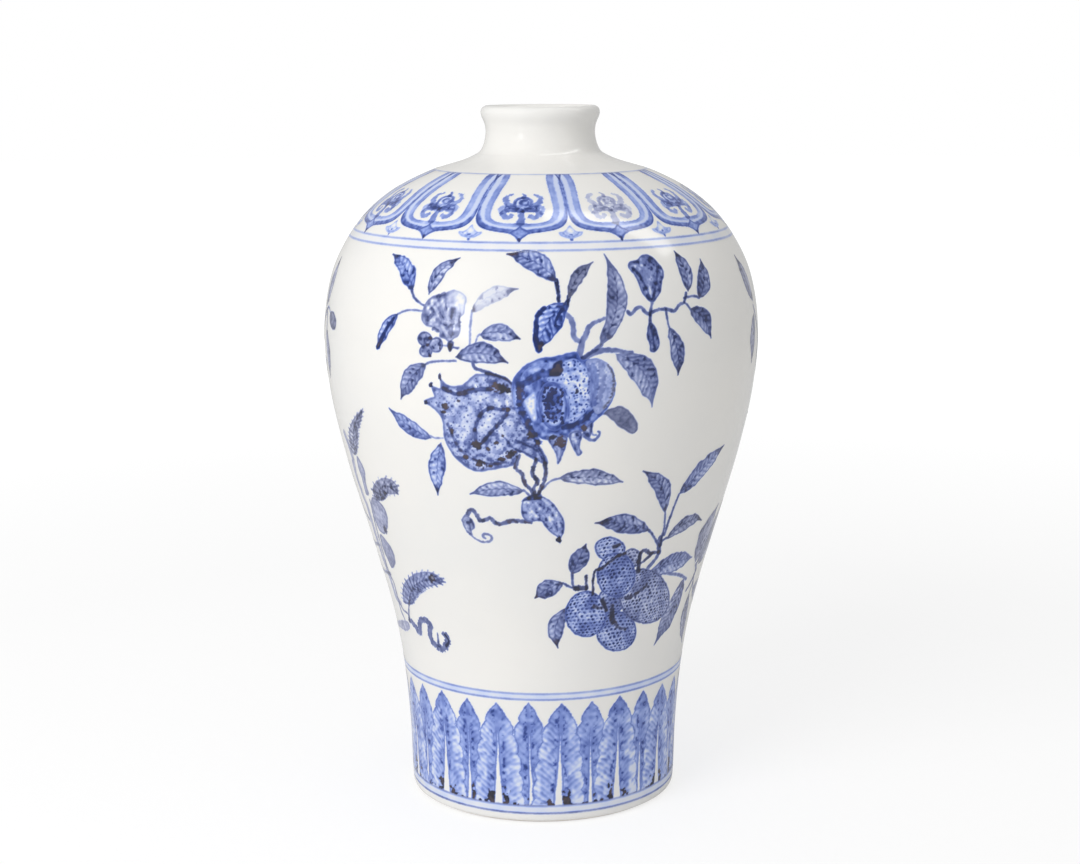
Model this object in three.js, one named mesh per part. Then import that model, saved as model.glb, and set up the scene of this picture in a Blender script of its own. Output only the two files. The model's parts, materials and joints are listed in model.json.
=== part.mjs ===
// A meiping, the tall baluster vase of glazed porcelain. It stands on its foot ring at z = 0,
// round the Z axis, and every size is in millimetres.
//
// Such a vase is thrown in sections. The base, the lower body, the upper body and the neck are
// turned when leather hard, joined edge to edge with slip, which is liquid clay, and then
// covered with clear glaze. Each section, each seam of slip and each coat of glaze is a solid
// of its own here, and they touch face to face, as they do once the kiln has fused them.

import * as THREE from 'three';

// The outside of the glaze, from the foot up: the radius at each height that shapes the wall.
// Each rise is measured from the height before it, and the first one from the ground. The foot
// stands up to the ankle as one drum, so the two flares say how far that drum leans out.
const footSideRadius = 64.4;
const footEdgeRounding = 3.2;
const lineBandFlare = 0.8;
const lineBandRise = 20.8;
const ankleFlare = 1;
const ankleRise = 21;
const waistRadius = 71.9;
const waistRise = 40;
const lowerBodyRadius = 82.3;
const lowerBodyRise = 40;
const middleRadius = 94;
const middleRise = 40;
const upperBodyRadius = 102;
const upperBodyRise = 39;
const bellyRadius = 103.3;
const bellyRise = 21;
const shoulderRadius = 98.3;
const shoulderRise = 30;
const shoulderSlopeRadius = 83.2;
const shoulderSlopeRise = 25;
const shoulderTopRadius = 61.6;
const shoulderTopRise = 16;
const neckFlareRadius = 36.4;
const neckFlareRise = 9.2;
const neckRootRadius = 28.5;
const neckRootRise = 3.8;
const neckRadius = 25.8;
const neckRise = 7.6;
const underLipRadius = 26.4;
const underLipRise = 6;
const lipRadius = 28;
const lipRise = 4;
const lipCrownHeight = 3.4;
const lipThickness = 4.4;

// The clay wall and the base. The foot ring is a flat rest round a recess.
const wallThickness = 5.4;
const baseThickness = 7;
const floorCornerRounding = 9;
const footRestWidth = 8;
const footRecessDepth = 7.5;
const footRecessDraft = 1.2;

// The coats of glaze. The foot ring is wiped bare before firing, up to where the coats start.
const glazeThickness = 0.4;
const outsideGlazeStartAngle = 32;
const recessGlazeStart = 1.8;

// The seams of slip, each with the bead that is left inside the wall.
const seamThickness = 0.6;
const beadHeight = 4.4;
const beadStandout = 1.1;

// How finely the round shapes are faceted.
const facetsAround = 40;
const wallTurnPerFacet = 13;
const longestWallFacet = 28;
const curveSamples = 600;
const crownFacets = 4;
const footEdgeFacets = 3;
const cornerFacets = 3;
const beadFacets = 3;

const GLAZE = { color: 0xeeece8, roughness: 0.08, metalness: 0 };
const BARE_CLAY = { color: 0xe4dcd2, roughness: 0.75, metalness: 0 };
const SLIP = { color: 0xe9e4dc, roughness: 0.7, metalness: 0 };

// The drum of the foot.
const lineBandRadius = footSideRadius + lineBandFlare;
const ankleRadius = lineBandRadius + ankleFlare;

// Heights that several pieces share.
const ankleJoint = footEdgeRounding + lineBandRise + ankleRise;
const middleJoint = ankleJoint + waistRise + lowerBodyRise + middleRise;
const shoulderTopHeight = middleJoint + upperBodyRise + bellyRise + shoulderRise
  + shoulderSlopeRise + shoulderTopRise;
const neckJoint = shoulderTopHeight + neckFlareRise + neckRootRise;
const neckHeight = neckJoint + neckRise;
const lipHeight = neckHeight + underLipRise + lipRise;
const floorHeight = footRecessDepth + baseThickness;
const floorCornerHeight = floorHeight + floorCornerRounding;

const joints = [ankleJoint, middleJoint, neckJoint];
const seamEdges = joints.flatMap((height) => [height - seamThickness / 2, height + seamThickness / 2]);
const beadEdges = joints.flatMap((height) => [height - beadHeight / 2, height + beadHeight / 2]);

// The rounding of the foot's outer edge, and of the lip's crown.
const footEdgeCentre = footSideRadius - glazeThickness - footEdgeRounding;
const mouthRadius = lipRadius - lipThickness;
const crownCentre = lipRadius - lipThickness / 2;
const restOuterRadius = footEdgeCentre;
const restInnerRadius = restOuterRadius - footRestWidth;
const recessTopRadius = restInnerRadius - footRecessDraft;

const radians = THREE.MathUtils.degToRad;
const point = (r, z) => ({ r, z });

// The outside of the glaze as a smooth curve, from the foot's side to the lip.
function outsideCurve() {
  const spans = [
    [footSideRadius, footEdgeRounding],
    [lineBandRadius, lineBandRise],
    [ankleRadius, ankleRise],
    [waistRadius, waistRise],
    [lowerBodyRadius, lowerBodyRise],
    [middleRadius, middleRise],
    [upperBodyRadius, upperBodyRise],
    [bellyRadius, bellyRise],
    [shoulderRadius, shoulderRise],
    [shoulderSlopeRadius, shoulderSlopeRise],
    [shoulderTopRadius, shoulderTopRise],
    [neckFlareRadius, neckFlareRise],
    [neckRootRadius, neckRootRise],
    [neckRadius, neckRise],
    [underLipRadius, underLipRise],
    [lipRadius, lipRise],
  ];
  let height = 0;
  const points = spans.map(([radius, rise]) => {
    height += rise;
    return new THREE.Vector3(radius, 0, height);
  });
  return new THREE.CatmullRomCurve3(points, false, 'centripetal');
}

// Points along the outside, each with the direction that faces out of the wall. A new point
// comes wherever the wall has turned by one facet's share or run on for one facet's length,
// so tight bends get more of them.
function outsideWall() {
  const curve = outsideCurve();
  const wall = [];
  let last = { at: curve.getPoint(0), lean: 0 };
  for (let i = 0; i <= curveSamples; i += 1) {
    const share = i / curveSamples;
    const at = curve.getPoint(share);
    const along = curve.getTangent(share);
    const isEnd = i === 0 || i === curveSamples;
    const lean = isEnd ? 0 : Math.atan2(along.x, along.z);
    const hasTurned = Math.abs(lean - last.lean) >= radians(wallTurnPerFacet);
    if (isEnd || hasTurned || at.distanceTo(last.at) >= longestWallFacet) {
      wall.push({ r: at.x, z: at.z, outR: Math.cos(lean), outZ: -Math.sin(lean) });
      last = { at, lean };
    }
  }
  return wall;
}

// How thick the clay is at a height of the outside: one wall up to the neck, then thinning
// evenly to the lip.
function clayThickness(height) {
  const lipClay = lipThickness - 2 * glazeThickness;
  const share = THREE.MathUtils.clamp((height - neckHeight) / (lipHeight - neckHeight), 0, 1);
  return THREE.MathUtils.lerp(wallThickness, lipClay, share);
}

// The outside moved into the wall by a depth that may change with the height.
function inset(wall, depthAt) {
  return wall.map(({ r, z, outR, outZ }) => point(r - outR * depthAt(z), z - outZ * depthAt(z)));
}

// The same line with a point added at each of these heights, so that the pieces that meet
// there share it.
function withHeights(line, heights) {
  const added = heights.map((height) => {
    const upper = line.findIndex(({ z }) => z > height);
    const share = (height - line[upper - 1].z) / (line[upper].z - line[upper - 1].z);
    return point(THREE.MathUtils.lerp(line[upper - 1].r, line[upper].r, share), height);
  });
  return [...line, ...added].sort((a, b) => a.z - b.z);
}

function between(line, low, high) {
  return line.filter(({ z }) => z >= low && z <= high);
}

// A bead's rounded face, from its lower edge to its upper one, without the edges themselves.
function beadFace(line, joint) {
  const edges = between(line, joint - beadHeight / 2, joint + beadHeight / 2);
  const low = edges[0];
  const high = edges.at(-1);
  const length = Math.hypot(high.r - low.r, high.z - low.z);
  const face = [];
  for (let i = 1; i < beadFacets; i += 1) {
    const share = i / beadFacets;
    const out = beadStandout * Math.sin(Math.PI * share) / length;
    face.push(point(
      THREE.MathUtils.lerp(low.r, high.r, share) - (high.z - low.z) * out,
      THREE.MathUtils.lerp(low.z, high.z, share) + (high.r - low.r) * out,
    ));
  }
  return face;
}

// An inner line with every bead's face in place of the stretch of wall that it covers.
function withBeads(line) {
  let dressed = line;
  joints.forEach((joint) => {
    const below = dressed.filter(({ z }) => z <= joint - beadHeight / 2);
    const above = dressed.filter(({ z }) => z >= joint + beadHeight / 2);
    dressed = [...below, ...beadFace(line, joint), ...above];
  });
  return dressed;
}

// The round corner from the axis along the floor up to an inner line's lowest point.
function floorCorner(lowest, floor) {
  const centre = point(lowest.r - floorCornerRounding, lowest.z);
  const corner = [point(0, floor)];
  for (let i = 0; i < cornerFacets; i += 1) {
    const angle = radians(90 * i / cornerFacets);
    corner.push(point(
      centre.r + (lowest.r - centre.r) * Math.sin(angle),
      centre.z - (lowest.z - floor) * Math.cos(angle),
    ));
  }
  return corner;
}

// The lip's crown, from its outer foot over the top to its inner one, without those two.
function crown(depth) {
  const arch = [];
  for (let i = 1; i < crownFacets; i += 1) {
    const angle = radians(180 * i / crownFacets);
    arch.push(point(
      crownCentre + (lipThickness / 2 - depth) * Math.cos(angle),
      lipHeight + (lipCrownHeight - depth) * Math.sin(angle),
    ));
  }
  return arch;
}

// A stretch of the foot's rounded outer edge, from one angle below the side up to another.
function footEdge(depth, fromAngle, toAngle) {
  const arc = [];
  const radius = footEdgeRounding + glazeThickness - depth;
  for (let i = 0; i <= footEdgeFacets; i += 1) {
    const angle = radians(THREE.MathUtils.lerp(fromAngle, toAngle, i / footEdgeFacets));
    arc.push(point(
      footEdgeCentre + radius * Math.cos(angle),
      footEdgeRounding - radius * Math.sin(angle),
    ));
  }
  return arc;
}

// Two triangles for each facet of a turned shape. Each facet is cut from its lower right corner
// to its upper left one whichever way the profile runs, so that two solids which share a
// line of the profile share its triangles too.
function matchedTriangles(profile) {
  const rows = profile.length;
  const triangles = [];
  for (let i = 0; i < facetsAround; i += 1) {
    for (let j = 0; j < rows - 1; j += 1) {
      const a = i * rows + j;
      const b = a + rows;
      const climbs = profile[j + 1].z > profile[j].z;
      triangles.push(...(climbs ? [a, b, a + 1, b + 1, a + 1, b] : [a, b, b + 1, a, b + 1, a + 1]));
    }
  }
  return triangles;
}

// A solid of revolution round the Z axis. The profile runs with the solid on its left, and it
// starts and ends on the axis or comes back to its first point.
function turned(name, profile, material) {
  const [first] = profile;
  const closes = first.r > 0 ? [...profile, first] : profile;
  const outline = closes.map(({ r, z }) => new THREE.Vector2(r, z));
  const geometry = new THREE.LatheGeometry(outline, facetsAround);
  geometry.setIndex(matchedTriangles(closes));
  geometry.rotateX(Math.PI / 2);
  const mesh = new THREE.Mesh(geometry, new THREE.MeshStandardMaterial(material));
  mesh.name = name;
  return mesh;
}

// The four lines that bound the layers of the wall, from the outside in.
const outside = outsideWall();
const clayOutside = withHeights(inset(outside, () => glazeThickness), seamEdges);
const clayInside = withHeights(
  inset(outside, (z) => glazeThickness + clayThickness(z)),
  [...seamEdges, ...beadEdges, floorCornerHeight],
);
const coatInside = withHeights(
  inset(outside, (z) => 2 * glazeThickness + clayThickness(z)),
  [...beadEdges, floorCornerHeight],
);

// A thrown section of the wall between two joints.
function section(low, high) {
  return [...between(clayOutside, low, high), ...between(clayInside, low, high).reverse()];
}

function baseWithFootRing() {
  const top = ankleJoint - seamThickness / 2;
  const innerWall = between(clayInside, floorCornerHeight, top);
  return [
    point(0, footRecessDepth),
    point(recessTopRadius, footRecessDepth),
    recessGlazeEdge(),
    point(restInnerRadius, 0),
    ...footEdge(glazeThickness, 90, outsideGlazeStartAngle),
    ...footEdge(glazeThickness, outsideGlazeStartAngle, 0).slice(1, -1),
    ...between(clayOutside, footEdgeRounding, top),
    ...innerWall.slice(1).reverse(),
    innerWall[0],
    ...floorCorner(innerWall[0], floorHeight).reverse(),
  ];
}

// Where the recess's glaze starts on the clay, a little above the ground.
function recessGlazeEdge() {
  const share = recessGlazeStart / footRecessDepth;
  return point(THREE.MathUtils.lerp(restInnerRadius, recessTopRadius, share), recessGlazeStart);
}

function mouthAndNeck() {
  const low = neckJoint + seamThickness / 2;
  return [
    ...between(clayOutside, low, lipHeight),
    ...crown(glazeThickness),
    ...between(clayInside, low, lipHeight).reverse(),
  ];
}

// The slip between two sections: a thin washer of the wall's width, with its bead inside.
function slipSeam(joint) {
  const low = joint - seamThickness / 2;
  const high = joint + seamThickness / 2;
  return [
    ...between(clayOutside, low, high),
    ...between(clayInside, high, joint + beadHeight / 2),
    ...beadFace(clayInside, joint).reverse(),
    ...between(clayInside, joint - beadHeight / 2, low),
  ];
}

// The outer coat runs from the foot's edge up the wall and over the lip.
function outsideGlaze() {
  const coatEdge = footEdge(0, outsideGlazeStartAngle, 0);
  const clayEdge = footEdge(glazeThickness, outsideGlazeStartAngle, 0);
  return [
    ...coatEdge.slice(0, -1),
    ...outside.map(({ r, z }) => point(r, z)),
    ...crown(0),
    point(mouthRadius, lipHeight),
    clayInside.at(-1),
    ...crown(glazeThickness).reverse(),
    ...[...clayOutside].reverse(),
    ...clayEdge.slice(0, -1).reverse(),
  ];
}

// The inner coat runs from the middle of the floor up the wall to the lip, over the beads.
function insideGlaze() {
  const clayWall = withBeads(between(clayInside, floorCornerHeight, lipHeight));
  const coatWall = withBeads(between(coatInside, floorCornerHeight, lipHeight));
  return [
    ...floorCorner(clayWall[0], floorHeight),
    ...clayWall,
    ...coatWall.slice(1).reverse(),
    coatWall[0],
    ...floorCorner(coatWall[0], floorHeight + glazeThickness).reverse(),
  ];
}

function recessGlaze() {
  const edge = recessGlazeEdge();
  const coatTop = footRecessDepth - glazeThickness;
  return [
    point(0, coatTop),
    point(recessTopRadius - glazeThickness, coatTop),
    point(edge.r - glazeThickness, edge.z),
    edge,
    point(recessTopRadius, footRecessDepth),
    point(0, footRecessDepth),
  ];
}

const vase = new THREE.Group();
vase.add(
  turned('base_with_foot_ring', baseWithFootRing(), BARE_CLAY),
  turned('lower_body', section(ankleJoint + seamThickness / 2, middleJoint - seamThickness / 2), BARE_CLAY),
  turned('upper_body', section(middleJoint + seamThickness / 2, neckJoint - seamThickness / 2), BARE_CLAY),
  turned('mouth_and_neck', mouthAndNeck(), BARE_CLAY),
  turned('slip_seam_base', slipSeam(ankleJoint), SLIP),
  turned('slip_seam_body', slipSeam(middleJoint), SLIP),
  turned('slip_seam_neck', slipSeam(neckJoint), SLIP),
  turned('glaze_outside', outsideGlaze(), GLAZE),
  turned('glaze_inside', insideGlaze(), GLAZE),
  turned('glaze_foot_recess', recessGlaze(), GLAZE),
);

export default vase;
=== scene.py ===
# %% [markdown]
# # A plum vase in blue and white
# The real vase is thrown in sections, painted in cobalt blue on the raw clay, dipped in clear
# glaze and fired once. The construction model gives its sections and coats as faceted solids.
# This lesson turns them into smooth porcelain and paints the decoration on them. Every size
# below is in millimetres until it goes into a mesh, and Blender itself works in metres.

# %% Load the frame
import json
import math
from collections import namedtuple

import bmesh
import bpy
import numpy as np
from mathutils import Matrix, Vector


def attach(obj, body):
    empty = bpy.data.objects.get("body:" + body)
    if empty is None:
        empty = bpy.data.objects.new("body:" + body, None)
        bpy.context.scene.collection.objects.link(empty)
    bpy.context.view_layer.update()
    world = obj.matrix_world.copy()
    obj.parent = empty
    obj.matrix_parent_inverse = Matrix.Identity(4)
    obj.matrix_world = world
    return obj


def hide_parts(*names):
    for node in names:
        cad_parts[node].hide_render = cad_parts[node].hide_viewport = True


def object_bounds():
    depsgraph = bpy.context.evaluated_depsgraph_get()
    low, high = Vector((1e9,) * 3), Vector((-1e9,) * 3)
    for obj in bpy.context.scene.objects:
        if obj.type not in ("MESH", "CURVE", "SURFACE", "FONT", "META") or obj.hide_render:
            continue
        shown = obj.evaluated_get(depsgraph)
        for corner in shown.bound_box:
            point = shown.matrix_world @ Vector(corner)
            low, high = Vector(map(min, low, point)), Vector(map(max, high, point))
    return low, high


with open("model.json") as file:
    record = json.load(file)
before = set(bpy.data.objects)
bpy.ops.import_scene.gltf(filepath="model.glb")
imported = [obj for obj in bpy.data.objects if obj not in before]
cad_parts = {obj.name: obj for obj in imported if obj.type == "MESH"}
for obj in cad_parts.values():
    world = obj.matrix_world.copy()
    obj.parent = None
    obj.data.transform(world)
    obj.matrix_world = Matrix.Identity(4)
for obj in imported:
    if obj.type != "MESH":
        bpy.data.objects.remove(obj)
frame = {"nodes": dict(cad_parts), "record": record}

MM = 0.001
cad_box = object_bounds()
print("construction model:", [round(v / MM, 1) for v in cad_box[1] - cad_box[0]], "mm")

# %% [markdown]
# ## From facets to a smooth outline
# A turned solid is one line carried round an axis. Cutting a faceted solid along one half
# plane gives that line back as corners. A smooth line through them keeps the sharp edges
# where the clay has one, such as the wiped foot ring, and rounds the rest. All ten pieces are
# made in this one way, so that they still touch each other as the solids do.

# %% Cut a turned solid along a half plane
SAME_PLACE = 1e-4
SHARP_TURN = math.radians(50)
LONGEST_STEP = 2.4
LARGEST_TURN = math.radians(4)


def section_corners(node):
    """The corners of a turned solid's section, in order, as rows of radius and height.

    The sides of the triangles that lie in the half plane y = 0 with x > 0 are walked from end
    to end, or once round where they close.
    """
    mesh = frame["nodes"][node].data
    places = np.empty(3 * len(mesh.vertices), np.float32)
    mesh.vertices.foreach_get("co", places)
    places = places.reshape(-1, 3) / MM
    sides = np.empty(2 * len(mesh.edges), np.int32)
    mesh.edges.foreach_get("vertices", sides)
    sides = sides.reshape(-1, 2)
    flat = (np.abs(places[:, 1]) < SAME_PLACE * 10) & (places[:, 0] > -SAME_PLACE)
    sides = sides[flat[sides].all(1)]
    key = {i: tuple(np.round(places[i, [0, 2]] + 0.0, 3)) for i in set(sides.ravel())}
    beside = {}
    for a, b in sides:
        if key[a] != key[b]:
            beside.setdefault(key[a], set()).add(key[b])
            beside.setdefault(key[b], set()).add(key[a])
    ends = [place for place, near in beside.items() if len(near) == 1]
    walk = [ends[0] if ends else min(beside)]
    while True:
        ahead = [place for place in sorted(beside[walk[-1]]) if place not in walk]
        if not ahead:
            return np.array(walk), not ends
        walk.append(ahead[0])


def smooth_line(corners, closes):
    """A smooth line through the corners.

    Each stretch is a Hermite curve: its end directions halve the turn at the corner, or keep
    to the stretch itself at a corner that turns by more than SHARP_TURN.
    """
    ahead = np.roll(corners, -1, 0) - corners
    length = np.maximum(np.hypot(*ahead.T), 1e-9)
    way = ahead / length[:, None]
    before = np.roll(way, 1, 0)
    halved = way + before
    halved /= np.maximum(np.hypot(*halved.T), 1e-9)[:, None]
    turn = np.arccos(np.clip((way * before).sum(1), -1, 1))
    soft = turn < SHARP_TURN
    if not closes:
        soft[[0, -1]] = False
    leaving = np.where(soft[:, None], halved, way)
    arriving = np.where(soft[:, None], halved, before)
    count = len(corners)
    line = []
    for i in range(count if closes else count - 1):
        j = (i + 1) % count
        bend = np.arccos(np.clip((leaving[i] * arriving[j]).sum(), -1, 1))
        steps = max(1, math.ceil(length[i] / LONGEST_STEP), math.ceil(bend / LARGEST_TURN))
        t = (np.arange(steps) / steps)[:, None]
        start, end = corners[i], corners[j]
        pull, push = leaving[i] * length[i], arriving[j] * length[i]
        line.append(start * (2 * t**3 - 3 * t**2 + 1) + pull * (t**3 - 2 * t**2 + t)
                    + end * (3 * t**2 - 2 * t**3) + push * (t**3 - t**2))
    if not closes:
        line.append(corners[-1:])
    return np.vstack(line)


lines = {node: (smooth_line(*section_corners(node)), section_corners(node)[1])
         for node in frame["nodes"]}
for node, (line, closes) in sorted(lines.items()):
    print(f"{node}: {len(line)} points, {'closed' if closes else 'from axis to axis'}")

# %% [markdown]
# ## The outline that everything is painted on
# The brush needs one thing from the vase: how far out the glaze is, and which way it faces,
# at each distance along the wall. The outer coat's own line gives both. The wall is thinned by
# a few hundredths of a millimetre, so that paint laid on it stays inside the construction box.

# %% Follow the outer coat up the wall
PAINT_LIFT = 0.05
widest_allowed = (cad_box[1].x - cad_box[0].x) / 2 / MM - 2 * PAINT_LIFT
coat, _ = lines["glaze_outside"]
FIT = min(1.0, widest_allowed / coat[:, 0].max())
for node, (line, closes) in lines.items():
    line[:, 0] *= FIT
    line[:, 1] = np.clip(line[:, 1], cad_box[0].z / MM, cad_box[1].z / MM)


def outer_wall():
    """The outer coat's line from the foot up to the top of the lip, as radius and height.

    From the top of the lip the line is followed the way that stays farther from the axis. It
    ends at the foot, where it stops going down.
    """
    forward = np.roll(coat, -int(coat[:, 1].argmax()), 0)
    backward = forward[::-1]
    way = forward if forward[8, 0] > backward[8, 0] else backward
    climbs_again = (np.diff(way[:, 1]) > 0) & (way[1:, 1] < coat[:, 1].mean() / 2)
    return way[:np.flatnonzero(climbs_again)[0] + 1][::-1]


wall = outer_wall()
steps = np.hypot(*np.diff(wall, axis=0).T)
climb_of_wall = np.concatenate([[0], np.cumsum(steps)])
way_up = np.gradient(wall, climb_of_wall, axis=0)
way_up /= np.hypot(*way_up.T)[:, None]


def radius_at(climb):
    return np.interp(climb, climb_of_wall, wall[:, 0])


def height_at(climb):
    return np.interp(climb, climb_of_wall, wall[:, 1])


def climb_at(height):
    """The distance along the wall at a height, which only rises up to the lip."""
    return np.interp(height, wall[:, 1], climb_of_wall)


def facing_at(climb):
    """The direction out of the wall, as its share outwards and its share upwards."""
    out = np.interp(climb, climb_of_wall, way_up[:, 1])
    up = -np.interp(climb, climb_of_wall, way_up[:, 0])
    size = np.hypot(out, up)
    return out / size, up / size


print(f"the wall is {climb_of_wall[-1]:.0f} mm long, {2 * wall[:, 0].max():.1f} mm across at its widest")

# %% [markdown]
# ## The smooth pieces
# Each line is now carried round the axis. The rows of points become quads, and where a line
# starts or ends on the axis its first row shrinks to a pole, so its doubled points are merged.
# The facets are small enough that their flat middles lie under a fiftieth of a millimetre
# inside the true circle, which keeps the paint above them.

# %% Make a mesh from rows of points
POINTS_AROUND = 192


def mesh_object(name, points, quads, material):
    """A mesh object from arrays: points in millimetres, and four point numbers to each face."""
    mesh = bpy.data.meshes.new(name)
    mesh.vertices.add(len(points))
    mesh.vertices.foreach_set("co", (points * MM).astype(np.float32).ravel())
    mesh.loops.add(quads.size)
    mesh.loops.foreach_set("vertex_index", quads.astype(np.int32).ravel())
    mesh.polygons.add(len(quads))
    mesh.polygons.foreach_set("loop_start", np.arange(0, quads.size, 4, dtype=np.int32))
    mesh.update(calc_edges=True)
    mesh.materials.append(material)
    piece = bpy.data.objects.new(name, mesh)
    bpy.context.scene.collection.objects.link(piece)
    return piece


def grid_quads(rows, columns, rows_close, columns_close):
    """The faces of a grid of points, which may run on from its last row or column to its first."""
    row = np.arange(rows if rows_close else rows - 1)[:, None]
    column = np.arange(columns if columns_close else columns - 1)[None, :]
    next_row, next_column = (row + 1) % rows, (column + 1) % columns
    corners = [row * columns + column, row * columns + next_column,
               next_row * columns + next_column, next_row * columns + column]
    return np.stack(np.broadcast_arrays(*corners), -1).reshape(-1, 4)


def turned_piece(name, line, closes, material):
    """A line carried round the axis: x = r sin(a), y = -r cos(a), and z stays the height."""
    angles = np.arange(POINTS_AROUND) * 2 * np.pi / POINTS_AROUND
    radius, height = line[:, 0][:, None], line[:, 1][:, None]
    points = np.stack([radius * np.sin(angles), -radius * np.cos(angles),
                       np.broadcast_to(height, (len(line), POINTS_AROUND))], -1)
    quads = grid_quads(len(line), POINTS_AROUND, closes, True)
    piece = mesh_object(name, points.reshape(-1, 3), quads, material)
    shape = bmesh.new()
    shape.from_mesh(piece.data)
    bmesh.ops.remove_doubles(shape, verts=shape.verts, dist=SAME_PLACE * MM)
    bmesh.ops.recalc_face_normals(shape, faces=shape.faces)
    shape.to_mesh(piece.data)
    shape.free()
    piece.data.shade_smooth()
    piece.data.set_sharp_from_angle(angle=SHARP_TURN)
    return piece


# %% [markdown]
# ## The glaze
# A clear glaze over white porcelain is a bright, slightly warm white under a glassy skin. Its
# white isn't even: it is a touch cooler where the glaze lies thick. The skin is a little wavy
# from the brush and the kiln, which shows only in how reflections bend. One group of nodes
# makes both, because the painted places have the same skin over them, and they read Object
# coordinates, so that a reflection runs on unbroken from white to blue.

# %% Build the glaze's white and its skin
GLAZE_THIN = (0.884, 0.868, 0.832, 1)
GLAZE_THICK = (0.846, 0.840, 0.818, 1)


def new_material(name):
    material = bpy.data.materials.new(name)
    material.use_nodes = True
    tree = material.node_tree
    return material, tree, tree.nodes["Principled BSDF"]


def add_node(tree, kind, **values):
    """A node with its sockets set by name, spaces written as underscores, or linked to."""
    node = tree.nodes.new(kind)
    for name, value in values.items():
        if hasattr(node, name) and name not in ("color",):
            setattr(node, name, value)
            continue
        socket = node.inputs[name.replace("_", " ")]
        if isinstance(value, bpy.types.NodeSocket):
            tree.links.new(value, socket)
        else:
            socket.default_value = value
    return node


def mix_colours(tree, share, first, second):
    """A Mix node for colours: share 0 gives the first one, and 1 the second."""
    mix = tree.nodes.new("ShaderNodeMix")
    mix.data_type = "RGBA"
    for socket, value in ((mix.inputs[0], share), (mix.inputs[6], first), (mix.inputs[7], second)):
        if isinstance(value, bpy.types.NodeSocket):
            tree.links.new(value, socket)
        else:
            socket.default_value = value
    return mix.outputs[2]


def mix_shaders(tree, share, first, second, output):
    """A Mix Shader node into a material's or a world's output."""
    mix = tree.nodes.new("ShaderNodeMixShader")
    for number, socket in enumerate((share, first, second)):
        tree.links.new(socket, mix.inputs[number])
    tree.links.new(mix.outputs[0], tree.nodes[output].inputs["Surface"])


def ramp(tree, value, stops):
    """A colour ramp through stops of place and colour."""
    node = tree.nodes.new("ShaderNodeValToRGB")
    tree.links.new(value, node.inputs[0])
    elements = node.color_ramp.elements
    elements[0].position, elements[0].color = stops[0]
    elements[1].position, elements[1].color = stops[-1]
    for place, colour in stops[1:-1]:
        elements.new(place).color = colour
    return node.outputs[0]


def glaze_skin(tree, shader):
    """Gives the shader the glaze's wavy skin and returns the colour of its white."""
    place = add_node(tree, "ShaderNodeTexCoord").outputs["Object"]
    pools = add_node(tree, "ShaderNodeTexNoise", Vector=place, Scale=14.0, Detail=3.0)
    waves = add_node(tree, "ShaderNodeTexNoise", Vector=place, Scale=55.0, Detail=2.0)
    bump = add_node(tree, "ShaderNodeBump", Height=waves.outputs[0], Strength=0.22, Distance=0.0006)
    tree.links.new(bump.outputs[0], shader.inputs["Normal"])
    gloss = add_node(tree, "ShaderNodeMapRange", Value=pools.outputs[0], From_Min=0.3, From_Max=0.7,
                     To_Min=0.09, To_Max=0.15)
    tree.links.new(gloss.outputs[0], shader.inputs["Roughness"])
    return ramp(tree, pools.outputs[0], [(0.35, GLAZE_THIN), (0.7, GLAZE_THICK)])


def clear_glaze():
    material, tree, shader = new_material("clear_glaze")
    tree.links.new(glaze_skin(tree, shader), shader.inputs["Base Color"])
    return material


# %% [markdown]
# ## The bare clay
# Where the foot ring is wiped, the porcelain is bare: matt, fine and slightly gritty. The fire
# leaves a warm blush on it, strongest in the last millimetres below the glaze.

# %% Build the bare clay and the slip
CLAY = (0.800, 0.740, 0.670, 1)
CLAY_BLUSH = (0.720, 0.520, 0.360, 1)
SLIP = (0.810, 0.770, 0.710, 1)
SLIP_SHADE = (0.760, 0.710, 0.640, 1)
BLUSH_LOW, BLUSH_HIGH = 0.0004, 0.0030


def fired_clay(name, light, dark, blush):
    material, tree, shader = new_material(name)
    place = add_node(tree, "ShaderNodeTexCoord").outputs["Object"]
    grit = add_node(tree, "ShaderNodeTexNoise", Vector=place, Scale=900.0, Detail=4.0)
    cloud = add_node(tree, "ShaderNodeTexNoise", Vector=place, Scale=40.0, Detail=3.0)
    colour = mix_colours(tree, cloud.outputs[0], light, dark)
    if blush:
        height = add_node(tree, "ShaderNodeSeparateXYZ", Vector=place).outputs[2]
        near_glaze = add_node(tree, "ShaderNodeMapRange", Value=height, From_Min=BLUSH_LOW,
                              From_Max=BLUSH_HIGH)
        colour = mix_colours(tree, near_glaze.outputs[0], colour, CLAY_BLUSH)
    tree.links.new(colour, shader.inputs["Base Color"])
    bump = add_node(tree, "ShaderNodeBump", Height=grit.outputs[0], Strength=0.35, Distance=0.0002)
    tree.links.new(bump.outputs[0], shader.inputs["Normal"])
    shader.inputs["Roughness"].default_value = 0.72
    return material


# %% Turn the ten pieces
finishes = {
    "clear_glaze": clear_glaze(),
    "bare_clay": fired_clay("bare_clay", CLAY, SLIP, True),
    "slip": fired_clay("slip", SLIP, SLIP_SHADE, False),
}
slots = {part["node"]: part["material_slot"] for part in frame["record"]["subparts"]}

for node, (line, closes) in sorted(lines.items()):
    piece = turned_piece(node + "_smooth", line, closes, finishes[slots[node]])
    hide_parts(node)
    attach(piece, "root")
    print(f"{piece.name}: {len(piece.data.polygons)} faces")

# %% [markdown]
# ## The camera
# The photograph was taken from a little above the vase with a long lens. These values were
# fitted to the painted rings and the foot: how far off and how high the camera stood, how far
# it looked down, and its lean. The same values cast a pixel back on to the wall further on.

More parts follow.
